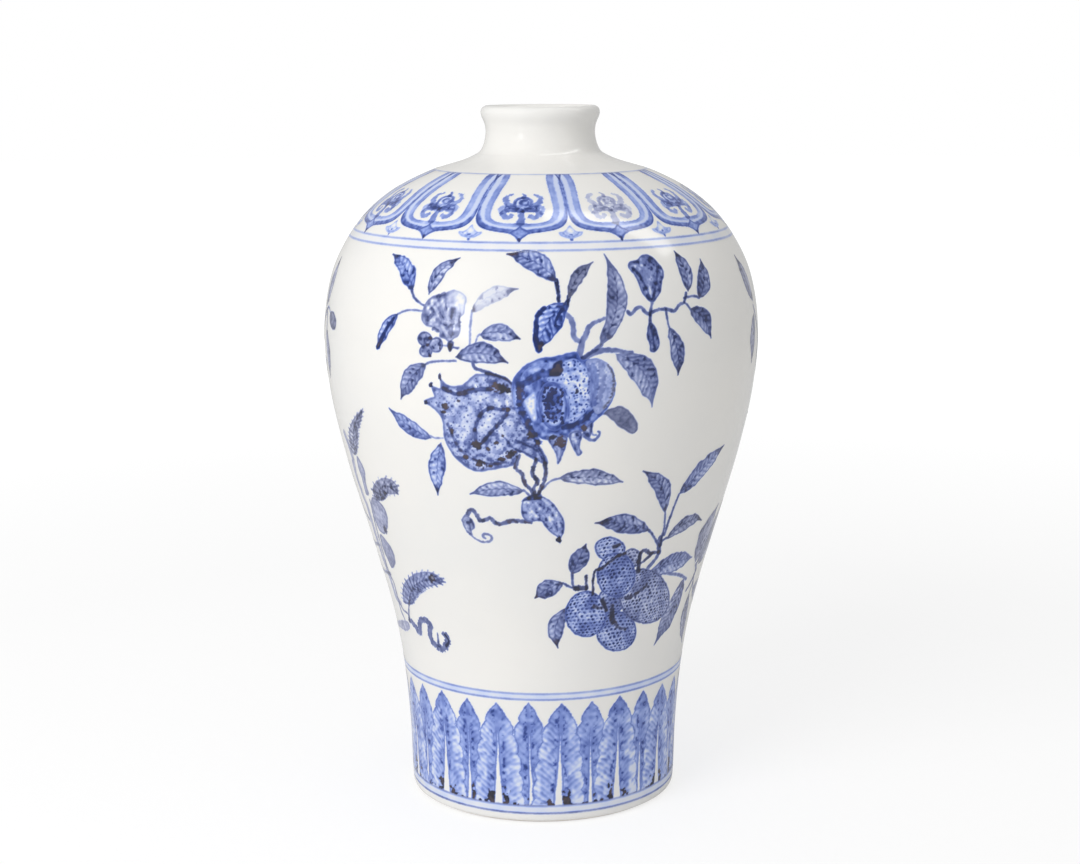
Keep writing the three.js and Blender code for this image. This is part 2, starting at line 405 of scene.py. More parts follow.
# %% Set up the camera
PHOTO_WIDE, PHOTO_HIGH = 1080, 864
SENSOR_WIDE = 36.0
FOCAL_PIXELS = 2003.0
EYE = np.array([0.0, -950.0, 355.0])
LOOK_DOWN = math.radians(10.77)
LEAN = math.radians(0.27)
LOOK_LEFT = math.atan(1.7 / FOCAL_PIXELS)


def camera_directions():
    """The camera's right, up and forward as unit vectors, after its turn, its pitch and its lean."""
    level = np.array([-math.sin(LOOK_LEFT), math.cos(LOOK_LEFT), 0])
    across = np.array([math.cos(LOOK_LEFT), math.sin(LOOK_LEFT), 0])
    skyward = np.array([0, 0, 1.0])
    forward = math.cos(LOOK_DOWN) * level - math.sin(LOOK_DOWN) * skyward
    upward = math.cos(LOOK_DOWN) * skyward + math.sin(LOOK_DOWN) * level
    right = math.cos(LEAN) * across - math.sin(LEAN) * upward
    up = math.cos(LEAN) * upward + math.sin(LEAN) * across
    return right, up, forward


RIGHT, UP, FORWARD = camera_directions()
camera_data = bpy.data.cameras.new("camera")
camera_data.sensor_width = SENSOR_WIDE
camera_data.lens = FOCAL_PIXELS / PHOTO_WIDE * SENSOR_WIDE
camera_data.clip_start = 0.01
camera = bpy.data.objects.new("camera", camera_data)
bpy.context.scene.collection.objects.link(camera)
turned = np.eye(4)
turned[:3, 0], turned[:3, 1], turned[:3, 2], turned[:3, 3] = RIGHT, UP, -FORWARD, EYE * MM
camera.matrix_world = Matrix(turned.tolist())
bpy.context.scene.camera = camera
print(f"lens {camera_data.lens:.1f} mm, {-EYE[1] / 1000:.2f} m away")

# %% [markdown]
# ## Light and ground
# The shadow on the photograph's floor runs back and to the right, so the main lamp stands in
# front on the left, at about 35 degrees. A strip above on the right leaves the soft pale patch
# on the shoulder. The ground and the surroundings are white to the camera, and light the vase
# and show in its glaze a little less than that.

# %% Light the vase
WHITE = (1, 1, 1, 1)
FILL_STRENGTH = 0.59
LOOK_AT = np.array([0.0, 0.0, 170.0])


def soft_lamp(name, turn, rise, away, wide, high, power, seen_in="everything"):
    """A rectangular lamp, turn degrees to the right of the front and rise degrees up.

    It lights everything, or only makes a reflection, or only lights and makes no reflection.
    """
    data = bpy.data.lights.new(name, "AREA")
    data.shape = "RECTANGLE"
    data.size, data.size_y, data.energy = wide, high, power
    lamp = bpy.data.objects.new(name, data)
    bpy.context.scene.collection.objects.link(lamp)
    turn, rise = math.radians(turn), math.radians(rise)
    way = np.array([math.cos(rise) * math.sin(turn), -math.cos(rise) * math.cos(turn), math.sin(rise)])
    lamp.location = (LOOK_AT * MM + way * away).tolist()
    lamp.rotation_euler = (math.pi / 2 - rise, 0, turn)
    lamp.visible_glossy = seen_in != "surfaces"
    lamp.visible_diffuse = seen_in != "reflections"
    return lamp


soft_lamp("main_lamp", -38, 34, 1.7, 0.9, 0.9, 14.0, seen_in="surfaces")
soft_lamp("left_card", -41, 12, 1.5, 0.30, 0.42, 1.0, seen_in="reflections")
soft_lamp("strip_above", 90, 64, 1.3, 0.25, 1.2, 3.4, seen_in="reflections")


def white_surroundings():
    """White where the camera sees it, and a softer fill light otherwise."""
    world = bpy.data.worlds.new("surroundings")
    bpy.context.scene.world = world
    world.use_nodes = True
    tree = world.node_tree
    path = add_node(tree, "ShaderNodeLightPath")
    fill = add_node(tree, "ShaderNodeBackground", Color=WHITE, Strength=FILL_STRENGTH)
    white = add_node(tree, "ShaderNodeBackground", Color=WHITE, Strength=1.0)
    mix_shaders(tree, path.outputs["Is Camera Ray"], fill.outputs[0], white.outputs[0], "World Output")


white_surroundings()

# %% Lay the ground
GROUND_RADIUS = 6.0
SHADOW_REACH = (0.45, 1.6)
SHADOW_SHARE = 0.34
GROUND_WHITE = 1.1


def ground_material():
    """A pale ground that the camera sees as white with the shadow on it.

    To the camera it is mostly plain white, and the share of it that takes shadow fades to
    nothing away from the vase, so that the ground's edge doesn't show.
    """
    material, tree, shader = new_material("ground")
    shader.inputs["Base Color"].default_value = (0.9, 0.9, 0.9, 1)
    shader.inputs["Roughness"].default_value = 0.9
    shader.inputs["Specular IOR Level"].default_value = 0.0
    white = add_node(tree, "ShaderNodeEmission", Color=WHITE, Strength=GROUND_WHITE)
    place = add_node(tree, "ShaderNodeTexCoord").outputs["Object"]
    away = add_node(tree, "ShaderNodeVectorMath", operation="LENGTH")
    tree.links.new(place, away.inputs[0])
    whiter = add_node(tree, "ShaderNodeMapRange", Value=away.outputs["Value"], From_Min=SHADOW_REACH[0],
                      From_Max=SHADOW_REACH[1], To_Min=1 - SHADOW_SHARE, To_Max=1.0)
    path = add_node(tree, "ShaderNodeLightPath")
    share = add_node(tree, "ShaderNodeMath", operation="MULTIPLY")
    tree.links.new(path.outputs["Is Camera Ray"], share.inputs[0])
    tree.links.new(whiter.outputs[0], share.inputs[1])
    mix_shaders(tree, share.outputs[0], shader.outputs[0], white.outputs[0], "Material Output")
    return material


bpy.ops.mesh.primitive_circle_add(vertices=96, radius=GROUND_RADIUS, fill_type="NGON")
ground = bpy.context.object
ground.name = "ground"
ground.data.materials.append(ground_material())
bpy.context.scene.view_settings.view_transform = "Standard"

# %% [markdown]
# ## Reading the photograph
# The painter's sprays are placed by pixels of the photograph. A ray from the camera through a
# pixel is walked in short steps until it meets the wall. That gives the place as a turn round
# the axis and a climb along the wall, which stay true from every side.

# %% Cast pixels on to the wall
RAY_START, RAY_END, RAY_STEPS = 780.0, 1010.0, 4600


def cast(pixels):
    """Where rays through pixels first meet the wall, as rows of turn and climb.

    A ray meets the wall where its distance from the axis falls below the wall's radius at its
    height. A ray that passes beside the vase takes the point where it comes nearest.
    """
    pixels = np.atleast_2d(pixels).astype(float)
    across = (pixels[:, :1] - PHOTO_WIDE / 2) / FOCAL_PIXELS
    down = (pixels[:, 1:] - PHOTO_HIGH / 2) / FOCAL_PIXELS
    rays = FORWARD + across * RIGHT - down * UP
    walked = np.linspace(RAY_START, RAY_END, RAY_STEPS)
    places = EYE + walked[None, :, None] * rays[:, None, :]
    gap = np.hypot(places[..., 0], places[..., 1]) - radius_at(climb_at(places[..., 2]))
    met = np.where((gap < 0).any(1), (gap < 0).argmax(1), gap.argmin(1))
    x, y, z = places[np.arange(len(met)), met].T
    return np.stack([np.arctan2(x, -y), climb_at(z)], -1)


print("the middle of the picture meets the wall at height", np.round(height_at(cast((540, 432))[0, 1])))

# %% [markdown]
# ## Cobalt under glaze
# Cobalt oxide is ground in water and brushed on the raw clay, which drinks it at once. Every
# second touch makes it darker, thin washes stay pale, and where the brush stops the oxide
# heaps up and burns nearly black or brown. So three numbers are painted at each point: the amount
# of cobalt, how far it is heaped, and how bright the blue is, because some brushfuls fired to a
# clear blue and others to a greyish one. Two colour ramps turn the amount into blue, and the
# same glaze skin as before lies over it.

# %% Build the cobalt's finish
BRIGHT_BLUE = [
    (0.00, GLAZE_THIN),
    (0.12, (0.640, 0.710, 0.900, 1)),
    (0.29, (0.350, 0.450, 0.830, 1)),
    (0.47, (0.180, 0.262, 0.640, 1)),
    (0.66, (0.066, 0.116, 0.420, 1)),
    (0.83, (0.020, 0.050, 0.245, 1)),
    (0.95, (0.007, 0.021, 0.120, 1)),
]
GREY_BLUE = [
    (0.00, GLAZE_THIN),
    (0.12, (0.660, 0.695, 0.815, 1)),
    (0.29, (0.400, 0.425, 0.610, 1)),
    (0.47, (0.228, 0.250, 0.400, 1)),
    (0.66, (0.115, 0.133, 0.245, 1)),
    (0.83, (0.045, 0.054, 0.118, 1)),
    (0.95, (0.016, 0.019, 0.042, 1)),
]
HEAPED = (0.022, 0.022, 0.036, 1)
HEAPED_BROWN = (0.082, 0.060, 0.066, 1)


def cobalt_blue():
    material, tree, shader = new_material("cobalt_blue")
    white = glaze_skin(tree, shader)
    amount, heaped, bright = (
        add_node(tree, "ShaderNodeAttribute", attribute_name=name).outputs["Fac"]
        for name in ("cobalt", "heaped", "bright"))
    blue = mix_colours(tree, bright, ramp(tree, amount, GREY_BLUE), ramp(tree, amount, BRIGHT_BLUE))
    painted = add_node(tree, "ShaderNodeMapRange", Value=amount, From_Max=BRIGHT_BLUE[1][0])
    colour = mix_colours(tree, painted.outputs[0], white, blue)
    place = add_node(tree, "ShaderNodeTexCoord").outputs["Object"]
    rust = add_node(tree, "ShaderNodeTexNoise", Vector=place, Scale=180.0, Detail=2.0)
    browner = ramp(tree, rust.outputs[0], [(0.42, (0, 0, 0, 1)), (0.58, (1, 1, 1, 1))])
    burnt = mix_colours(tree, browner, HEAPED, HEAPED_BROWN)
    tree.links.new(mix_colours(tree, heaped, colour, burnt), shader.inputs["Base Color"])
    return material


finishes["cobalt_blue"] = cobalt_blue()

# %% [markdown]
# ## A patch of wall to paint on
# A patch is a window on the wall with a fine grid on it, three cells to a millimetre. The
# brushes below fill the grid with cobalt, each working on the few cells that it reaches, in
# millimetres on a flat chart round its own stroke. At the end the painted cells alone become
# a mesh, a skin one twentieth of a millimetre over the glaze, faded out to bare glaze at its
# edge, so that nothing shows but the blue.

# %% Patches
CELL = 0.35
FAINTEST = 0.015
NOISE_SIZES = (0.8, 1.7, 5.5)
LEAF_BRIGHT = 0.42
Window = namedtuple("Window", "rows columns x y points")


def ease(value, start, end):
    """0 before start and 1 after end, with a smooth step between them."""
    share = np.clip((value - start) / (end - start), 0, 1)
    return share * share * (3 - 2 * share)


def drift(draw, down, across):
    """Smooth random values from 0 to 1: a coarse lattice of them, eased between its points.

    The last column runs on into the first, so that a border closes round the vase.
    """
    row, column = np.floor(down).astype(int), np.floor(across).astype(int)
    part_down, part_across = ease(down - row, 0, 1)[:, None], ease(across - column, 0, 1)
    turns_over = max(int(round(across[-1])), 1)
    lattice = draw.random((row.max() + 2, turns_over))
    here, there = column % turns_over, (column + 1) % turns_over
    above = lattice[row][:, here] * (1 - part_across) + lattice[row][:, there] * part_across
    row = row + 1
    below = lattice[row][:, here] * (1 - part_across) + lattice[row][:, there] * part_across
    return above * (1 - part_down) + below * part_down


class Patch:
    """A window on the wall, between two turns and two climbs, with its paint as a grid.

    brush is how bright the cobalt on the brush is, from 0, greyish, to 1, clear blue.
    """

    def __init__(self, name, turns, climbs, to_wall, seed, cell=CELL):
        self.name, self.to_wall = name, to_wall
        self.climb = np.linspace(*climbs, math.ceil((climbs[1] - climbs[0]) / cell) + 1)
        self.radius = radius_at(self.climb)
        around = (turns[1] - turns[0]) * self.radius.max()
        self.turn = np.linspace(*turns, math.ceil(around / cell) + 1)
        self.tone = np.zeros((len(self.climb), len(self.turn)))
        self.heap = np.zeros_like(self.tone)
        self.bright = np.full_like(self.tone, LEAF_BRIGHT)
        self.brush = LEAF_BRIGHT
        self.draw = np.random.default_rng(seed)
        down = self.climb - self.climb[0]
        share = (self.turn - self.turn[0]) / (turns[1] - turns[0])
        self.fine, self.grain, self.cloud = (
            drift(self.draw, down / size, share * round(around / size)) for size in NOISE_SIZES)

    def window(self, places, reach):
        """The cells within reach of some places, on a flat chart in millimetres.

        x runs round the wall from the places' middle turn and y up the wall from their middle
        climb. The places' own points on that chart come with it.
        """
        turns, climbs = np.atleast_2d(places).T
        turn, climb = (turns.min() + turns.max()) / 2, (climbs.min() + climbs.max()) / 2
        rows = slice(*np.searchsorted(self.climb, [climbs.min() - reach, climbs.max() + reach]))
        thinnest = max(self.radius[rows].min(), 1) if rows.stop > rows.start else 1
        sides = [turns.min() - reach / thinnest, turns.max() + reach / thinnest]
        columns = slice(*np.searchsorted(self.turn, sides))
        x = (self.turn[columns] - turn)[None, :] * self.radius[rows][:, None]
        y = np.broadcast_to((self.climb[rows] - climb)[:, None], x.shape)
        points = np.stack([(turns - turn) * radius_at(climbs), climbs - climb], -1)
        return Window(rows, columns, x, y, points)

    def noise(self, window):
        cells = window.rows, window.columns
        return self.fine[cells], self.grain[cells], self.cloud[cells]

    def lay(self, window, tone, heap=0.0):
        """Adds cobalt: what stays white is the product of what each touch leaves white."""
        cells = window.rows, window.columns
        self.tone[cells] = 1 - (1 - self.tone[cells]) * (1 - np.clip(tone, 0, 1))
        self.heap[cells] = np.maximum(self.heap[cells], np.clip(heap, 0, 1))
        self.bright[cells] += (self.brush - self.bright[cells]) * ease(tone, 0, 0.12)

    def wipe(self, window, cover):
        """Takes cobalt away, where a shape in front covers what is behind it."""
        cells = window.rows, window.columns
        self.tone[cells] *= 1 - np.clip(cover, 0, 1)
        self.heap[cells] *= 1 - np.clip(cover, 0, 1)

    def piece(self, name=None, columns=None):
        """The painted cells as a mesh object, or those between two columns of them."""
        name = name or self.name
        painted = self.tone > FAINTEST
        cells = painted[:-1, :-1] | painted[1:, :-1] | painted[:-1, 1:] | painted[1:, 1:]
        if columns:
            cells[:, :columns[0]] = cells[:, columns[1]:] = False
        quads = grid_quads(*self.tone.shape, False, False)[cells.ravel()]
        used, quads = np.unique(quads, return_inverse=True)
        row, column = np.divmod(used, self.tone.shape[1])
        out, up = facing_at(self.climb[row])
        radius = self.radius[row] + PAINT_LIFT * out
        turn = self.turn[column]
        points = np.stack([radius * np.sin(turn), -radius * np.cos(turn),
                           height_at(self.climb[row]) + PAINT_LIFT * up], -1)
        piece = mesh_object(name, points, quads.reshape(-1, 4), finishes["cobalt_blue"])
        mesh = piece.data
        for layer, values in (("cobalt", self.tone), ("heaped", self.heap), ("bright", self.bright)):
            attribute = mesh.attributes.new(layer, "FLOAT", "POINT")
            attribute.data.foreach_set("value", values[row, column].astype(np.float32))
        corners = quads.ravel()
        flat = np.stack([(column - column.min()) / np.ptp(column), (row - row.min()) / np.ptp(row)], -1)
        unwrapped = mesh.uv_layers.new(name="OFBake")
        unwrapped.uv.foreach_set("vector", (0.01 + 0.98 * flat[corners]).astype(np.float32).ravel())
        mesh.shade_smooth()
        normals = np.stack([out * np.sin(turn), -out * np.cos(turn), up], -1)
        mesh.normals_split_custom_set_from_vertices(normals.tolist())
        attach(piece, "root")
        print(f"{name}: {len(mesh.polygons)} faces")
        return piece

    def quarters(self, name):
        """A border's mesh in four pieces, so that none grows too large."""
        cuts = np.linspace(0, len(self.turn) - 1, 5).astype(int)
        for side, start, end in zip(("back_left", "front_left", "front_right", "back_right"),
                                    cuts[:-1], cuts[1:]):
            self.piece(f"{name}_{side}", (start, end))


# %% [markdown]
# ## Brushes
# A leaf is painted as a Chinese painter lays it: a wash, an outline, veins pulled from the
# midrib to the edge, and the brush pressed at the tip so that the cobalt heaps there. A twig is
# a line whose width tapers. A bud or a fruit is a closed outline filled by its depth inside.
# Each brush's edge wavers a little with the noise of its patch.

# %% A leaf
WAVER = 0.6
VEIN_GAP = 3.0


def leaf(patch, base, tip, width, bend=0.0, wash=0.48, burnt=0.92, edge=0.78, shade=0.10,
         veins=0.37, midrib=0.24, drip=0.26, hook=0.0, bright=LEAF_BRIGHT):
    """A leaf from base to tip.

    Along its length u runs from 0 to 1. Its middle is bowed by a parabola, and its last fifth
    may hook to one side. Half its width is the sine of pi times u, to the power 0.8, and over
    the last part, the drip, that narrows to a drawn out point. The outline goes round it.
    """
    window = patch.window(patch.to_wall([base, tip]), width + 4)
    start, end = window.points
    length = np.hypot(*(end - start))
    way = (end - start) / length
    x, y = window.x - start[0], window.y - start[1]
    u = (x * way[0] + y * way[1]) / length
    inner = np.clip(u, 0, 1)
    bow = bend * length * 4 * inner * (1 - inner) + hook * ease(inner, 0.8, 1.05)
    side = y * way[0] - x * way[1] - bow
    fine, grain, cloud = patch.noise(window)
    half = np.sin(math.pi * inner**0.92) ** 0.8 * width / 2 * (1 + 0.35 * (cloud - 0.5))
    half = np.maximum(half * (1 - 0.75 * ease(inner, 1 - drip, 1)) + 0.3 * ease(u, 0, 0.1), 0.34)
    beyond = np.maximum(np.maximum(-u, u - 1) * length, 0)
    depth = half - np.abs(side) - beyond + (grain - 0.5) * WAVER * np.minimum(1, half / 2)
    cover = ease(depth, -0.3, 0.42)
    ending = ease(u + 0.10 * (grain - 0.5), 1 - 1.1 * drip, 0.97)
    starting = ease(0.17 - u + 0.08 * (grain - 0.5), 0, 0.14)
    run = u * length + 1.6 * (grain - 0.5)
    bent = run - 0.85 * np.abs(side) + 1.5 * (cloud - 0.5) + np.where(side > 0, 0.45 * VEIN_GAP, 0)
    vein = 0.5 + 0.5 * np.cos(2 * math.pi * bent / VEIN_GAP)
    crossing = 0.5 + 0.5 * np.cos(2 * math.pi * (run + 0.85 * np.abs(side)) / VEIN_GAP)
    vein = (1 - (1 - vein) * (1 - 0.4 * crossing)) * (0.45 + 0.8 * grain)
    spine = np.exp(-(side / 0.38) ** 2) * ease(0.97 - u, 0, 0.3)
    blot = ease(grain + 0.35 * fine + 0.12 * (1 - 2 * inner), 0.84, 1.06)
    tone = wash * (0.66 + 0.6 * cloud) + shade * np.tanh(side / 1.5)
    tone = np.clip(tone + veins * (vein - 0.50) + midrib * spine * (0.3 + fine) + 0.24 * blot, 0.1, 0.9)
    rim = np.exp(-(np.maximum(depth - 0.3, 0) / 0.36) ** 2)
    tone = tone + (edge + 0.15 * ending - tone) * rim * (0.65 + 0.45 * grain)
    tone = tone + (burnt - tone) * ending * (0.7 + 0.4 * grain)
    tone = tone + (0.85 * burnt - tone) * starting * 0.75
    heap = ease(burnt, 0.82, 1.0) * ending * (0.55 + 0.45 * grain) + 0.5 * starting * ease(grain, 0.4, 0.7)
    patch.brush = bright
    patch.wipe(window, cover)
    patch.lay(window, tone * cover, heap * cover)
    patch.brush = LEAF_BRIGHT


# %% A line and a closed shape
CURVE_STEPS = 8


def curve_through(points, closes=False):
    """A smooth curve through points: each stretch is a cubic whose end directions run along
    the chord between the two neighbours."""
    points = np.asarray(points, float)
    if closes:
        before, after = np.roll(points, 1, 0), np.roll(points, -1, 0)
        start, end, further = points, after, np.roll(points, -2, 0)
    else:
        ends = np.vstack([2 * points[0] - points[1], points, 2 * points[-1] - points[-2]])
        before, start, end, further = ends[:-3], ends[1:-2], ends[2:-1], ends[3:]
    t = (np.arange(CURVE_STEPS) / CURVE_STEPS)[:, None, None]
    curve = 0.5 * (2 * start + (end - before) * t + (2 * before - 5 * start + 4 * end - further) * t**2
                   + (3 * start - before - 3 * end + further) * t**3)
    curve = curve.transpose(1, 0, 2).reshape(-1, 2)
    return curve if closes else np.vstack([curve, points[-1:]])


def nearest_on(window, curve):
    """Each cell's distance to a curve, and how far along it the nearest point is, from 0 to 1."""
    start, step = curve[:-1], np.diff(curve, axis=0)
    size = np.maximum((step**2).sum(1), 1e-9)
    x = window.x[..., None] - start[:, 0]
    y = window.y[..., None] - start[:, 1]
    share = np.clip((x * step[:, 0] + y * step[:, 1]) / size, 0, 1)
    away = np.hypot(x - share * step[:, 0], y - share * step[:, 1])
    best = away.argmin(-1)
    reached = np.take_along_axis(share, best[..., None], -1)[..., 0]
    return away.min(-1), (best + reached) / len(step)


def line(patch, points, thick, tone, thin=None, heap=0.0, waver=0.3):
    """A stroke along a curve, thick at its start and thin at its end, heaped in patches."""
    window = patch.window(patch.to_wall(points), thick + 3)
    away, along = nearest_on(window, curve_through(window.points))
    fine, grain, _ = patch.noise(window)
    thin = thick if thin is None else thin
    half = (thick + (thin - thick) * along) / 2 * (0.8 + 0.4 * grain)
    cover = ease(half - away + (fine - 0.5) * waver, -0.3, 0.35)
    patch.lay(window, tone * cover * (0.8 + 0.4 * grain), heap * cover * ease(grain, 0.35, 0.6))


def inside_of(window, outline):
    """How deep each cell lies inside a closed outline, or how far outside where it is negative.

    A cell is inside when a line from it to the right crosses the outline an odd number of times.
    """
    closed = np.vstack([outline, outline[:1]])
    away, _ = nearest_on(window, closed)
    start, end = closed[:-1], closed[1:]
    y = window.y[..., None]
    spans = (start[:, 1] > y) != (end[:, 1] > y)
    rise = np.where(end[:, 1] == start[:, 1], 1e-9, end[:, 1] - start[:, 1])
    crossing = start[:, 0] + (y - start[:, 1]) / rise * (end[:, 0] - start[:, 0])
    odd = (spans & (window.x[..., None] < crossing)).sum(-1) % 2
    return np.where(odd, away, -away)


def shape(patch, points, wash, edge=0.7, edge_width=0.45, mottle=0.25, over=True,
          round_off=True, heap=0.0):
    """A closed shape with a wash, a darker outline and mottling, laid over what is behind it."""
    window = patch.window(patch.to_wall(points), 3)
    outline = curve_through(window.points, closes=True) if round_off else window.points
    fine, grain, cloud = patch.noise(window)
    depth = inside_of(window, outline) + (grain - 0.5) * WAVER * 0.8
    cover = ease(depth, -0.3, 0.42)
    rim = np.exp(-(np.maximum(depth - 0.3, 0) / edge_width) ** 2)
    tone = wash * (0.75 + 0.5 * cloud) + mottle * (grain - 0.5) * 2 + 0.2 * (fine - 0.5)
    tone = np.clip(tone, 0.04, 1)
    tone = tone + (edge - tone) * rim * 0.9
    if over:
        patch.wipe(window, cover)
    patch.lay(window, tone * cover, heap * cover * ease(grain, 0.4, 0.65))
    return window, depth


# %% Spots, specks and netting
def tilted(centre, points, tilt):
    """Points turned by an angle round (0, 0) and then moved to a centre."""
    turning = [[math.cos(tilt), math.sin(tilt)], [-math.sin(tilt), math.cos(tilt)]]
    return np.array(centre) + np.array(points, float) @ turning


def oval(centre, wide, high, tilt=0.0, point=0.0, points=12):
    """Points round an oval with two half widths, drawn out to a point at one end if asked."""
    bend = np.arange(points) * 2 * math.pi / points
    drawn = 1 + point * np.exp(-((bend - math.pi / 2) / 0.3) ** 2)
    return tilted(centre, np.stack([wide * np.cos(bend), high * np.sin(bend)], -1) * drawn[:, None], tilt)


def spot(patch, centre, wide, high, tone=0.9, heap=1.0, tilt=0.0):
    """An oval of heaped cobalt, its edge torn by the noise."""
    window = patch.window(patch.to_wall([centre]), max(wide, high) + 2)
    fine, grain, _ = patch.noise(window)
    x, y = window.x - window.points[0, 0], window.y - window.points[0, 1]
    turned_x = x * math.cos(tilt) + y * math.sin(tilt)
    turned_y = y * math.cos(tilt) - x * math.sin(tilt)
    away = np.hypot(turned_x / (wide / 2), turned_y / (high / 2))
    cover = ease(1.0 - away + (fine - 0.5) * 0.7 + (grain - 0.5) * 0.4, -0.05, 0.3)
    patch.lay(window, tone * cover, heap * cover)


def specks(patch, window, where, gap, size, tone, slant=0.0, stagger=0.5, loose=0.3, heap=0.0):
    """Small dots in rows: the chart is cut into squares of a gap, each with one dot in it,
    moved a little at random, and every other row is staggered."""
    along = (window.x * math.cos(slant) + window.y * math.sin(slant)) / gap
    up = (window.y * math.cos(slant) - window.x * math.sin(slant)) / (gap * 0.87)
    row = np.floor(up).astype(int)
    along = along + stagger * (row % 2)
    column = np.floor(along).astype(int)
    shifts = patch.draw.random((3, 64, 64))
    off_x, off_y, weight = shifts[:, row % 64, column % 64]
    x = (along - column - 0.5 - (off_x - 0.5) * loose) * gap
    y = (up - row - 0.5 - (off_y - 0.5) * loose) * gap * 0.87
    dot = ease(size * (0.7 + 0.5 * weight) - np.hypot(x, y), -0.22, 0.22)
    patch.lay(window, tone * dot * where * (0.55 + 0.6 * weight), heap * dot * where)


def lighten(patch, window, share):
    """Takes a share of the cobalt away again, as where the brush left a gap."""
    patch.tone[window.rows, window.columns] *= 1 - share


def light_line(patch, points, thick, share):
    """A light stroke, left open in the wash."""
    window = patch.window(patch.to_wall(points), thick + 2)
    away, _ = nearest_on(window, curve_through(window.points))
    lighten(patch, window, share * ease(thick / 2 - away + (patch.noise(window)[1] - 0.5) * 0.5, -0.35, 0.35))


# %% [markdown]
# ## The borders
# Two borders frame the sprays, as on most vases of this kind. On the shoulder hang twelve
# lappets, each a broad double band round a white field with a cloud scroll in it, with a
# small pendant between each two. Round the foot stand twenty-eight plantain leaves, every
# second one tucked behind its neighbours. Plain rings close both borders. Each border is cut
# into four pieces, between two motifs, so that no mesh grows too large.

# %% Rings
BORDER_BRIGHT = 0.95
RING_BRIGHT = 0.6
RING_WIDE = 1.0
RING_TONE = 0.33
SHOULDER_TOP = climb_at(300.8)
SHOULDER_RING = climb_at(273.9)
SHOULDER_LOW_RING = SHOULDER_RING - 3.9
FOOT_HIGH_RING = climb_at(64.7)
FOOT_SECOND_RING = FOOT_HIGH_RING - 3.0
FOOT_LOW_RING = climb_at(8.9)
FOOT_LAST_RING = climb_at(5.2)
EVERYTHING = Window(slice(None), slice(None), None, None, None)


def ring(patch, climb, wide=RING_WIDE, tone=RING_TONE, bright=RING_BRIGHT):
    """A line round the vase, laid on the wheel: its tone drifts slowly as it runs round."""
    away = np.abs(patch.climb - climb)[:, None]
    cover = ease(wide / 2 - away + (patch.fine - 0.5) * 0.16, -0.34, 0.34)
    patch.brush = bright
    patch.lay(EVERYTHING, cover * tone * (0.75 + 0.5 * patch.cloud))


def band(patch, low, high, tone):
    """A pale wash between two rings."""
    cover = ease(patch.climb, low - 0.2, low + 0.4) * ease(-patch.climb, -high - 0.2, -high + 0.4)
    patch.brush = BORDER_BRIGHT
    patch.lay(EVERYTHING, cover[:, None] * tone * (0.7 + 0.6 * patch.cloud))


# %% The lappets of the shoulder
LAPPETS = 12
LAPPET_FIRST = math.radians(-6.2)
LAPPET_TIP = climb_at(274.5)
# The lappet under the strip lamp's reflection: its cloud scroll is painted paler and greyer, a painted
# reflection.
REFLECTION_LAPPET = 1
LAPPET_OUTLINE = [(1, -0.2), (1, 0.2), (1, 0.62), (0.97, 0.75), (0.87, 0.83), (0.7, 0.875), (0.45, 0.9),
    (0.25, 0.915), (0.12, 0.94), (0.04, 0.985), (0, 1)]
LAPPET_FIELD = [(0.56, -0.2), (0.58, 0.1), (0.62, 0.3), (0.66, 0.45), (0.685, 0.6), (0.66, 0.7),
    (0.58, 0.76), (0.42, 0.79), (0.2, 0.8), (0, 0.795)]


def mirrored(half):
    """A closed outline from its right half: the other half is its mirror image."""
    return half + [(-x, y) for x, y in half if x > 0][::-1]


def around(turn, climb):
    """A chart in millimetres round one place on the wall: it gives back turns and climbs."""
    def to_wall(points):
        points = np.atleast_2d(points).astype(float)
        climbs = climb + points[:, 1]
        return np.stack([turn + points[:, 0] / radius_at(climbs), climbs], -1)
    return to_wall


def lappet_chart(centre):
    """A chart from a lappet's own shares, q across its half width and t down its length."""
    def to_wall(points):
        points = np.atleast_2d(points).astype(float)
        turns = centre + points[:, 0] * math.pi / LAPPETS
        return np.stack([turns, SHOULDER_TOP - points[:, 1] * (SHOULDER_TOP - LAPPET_TIP)], -1)
    return to_wall


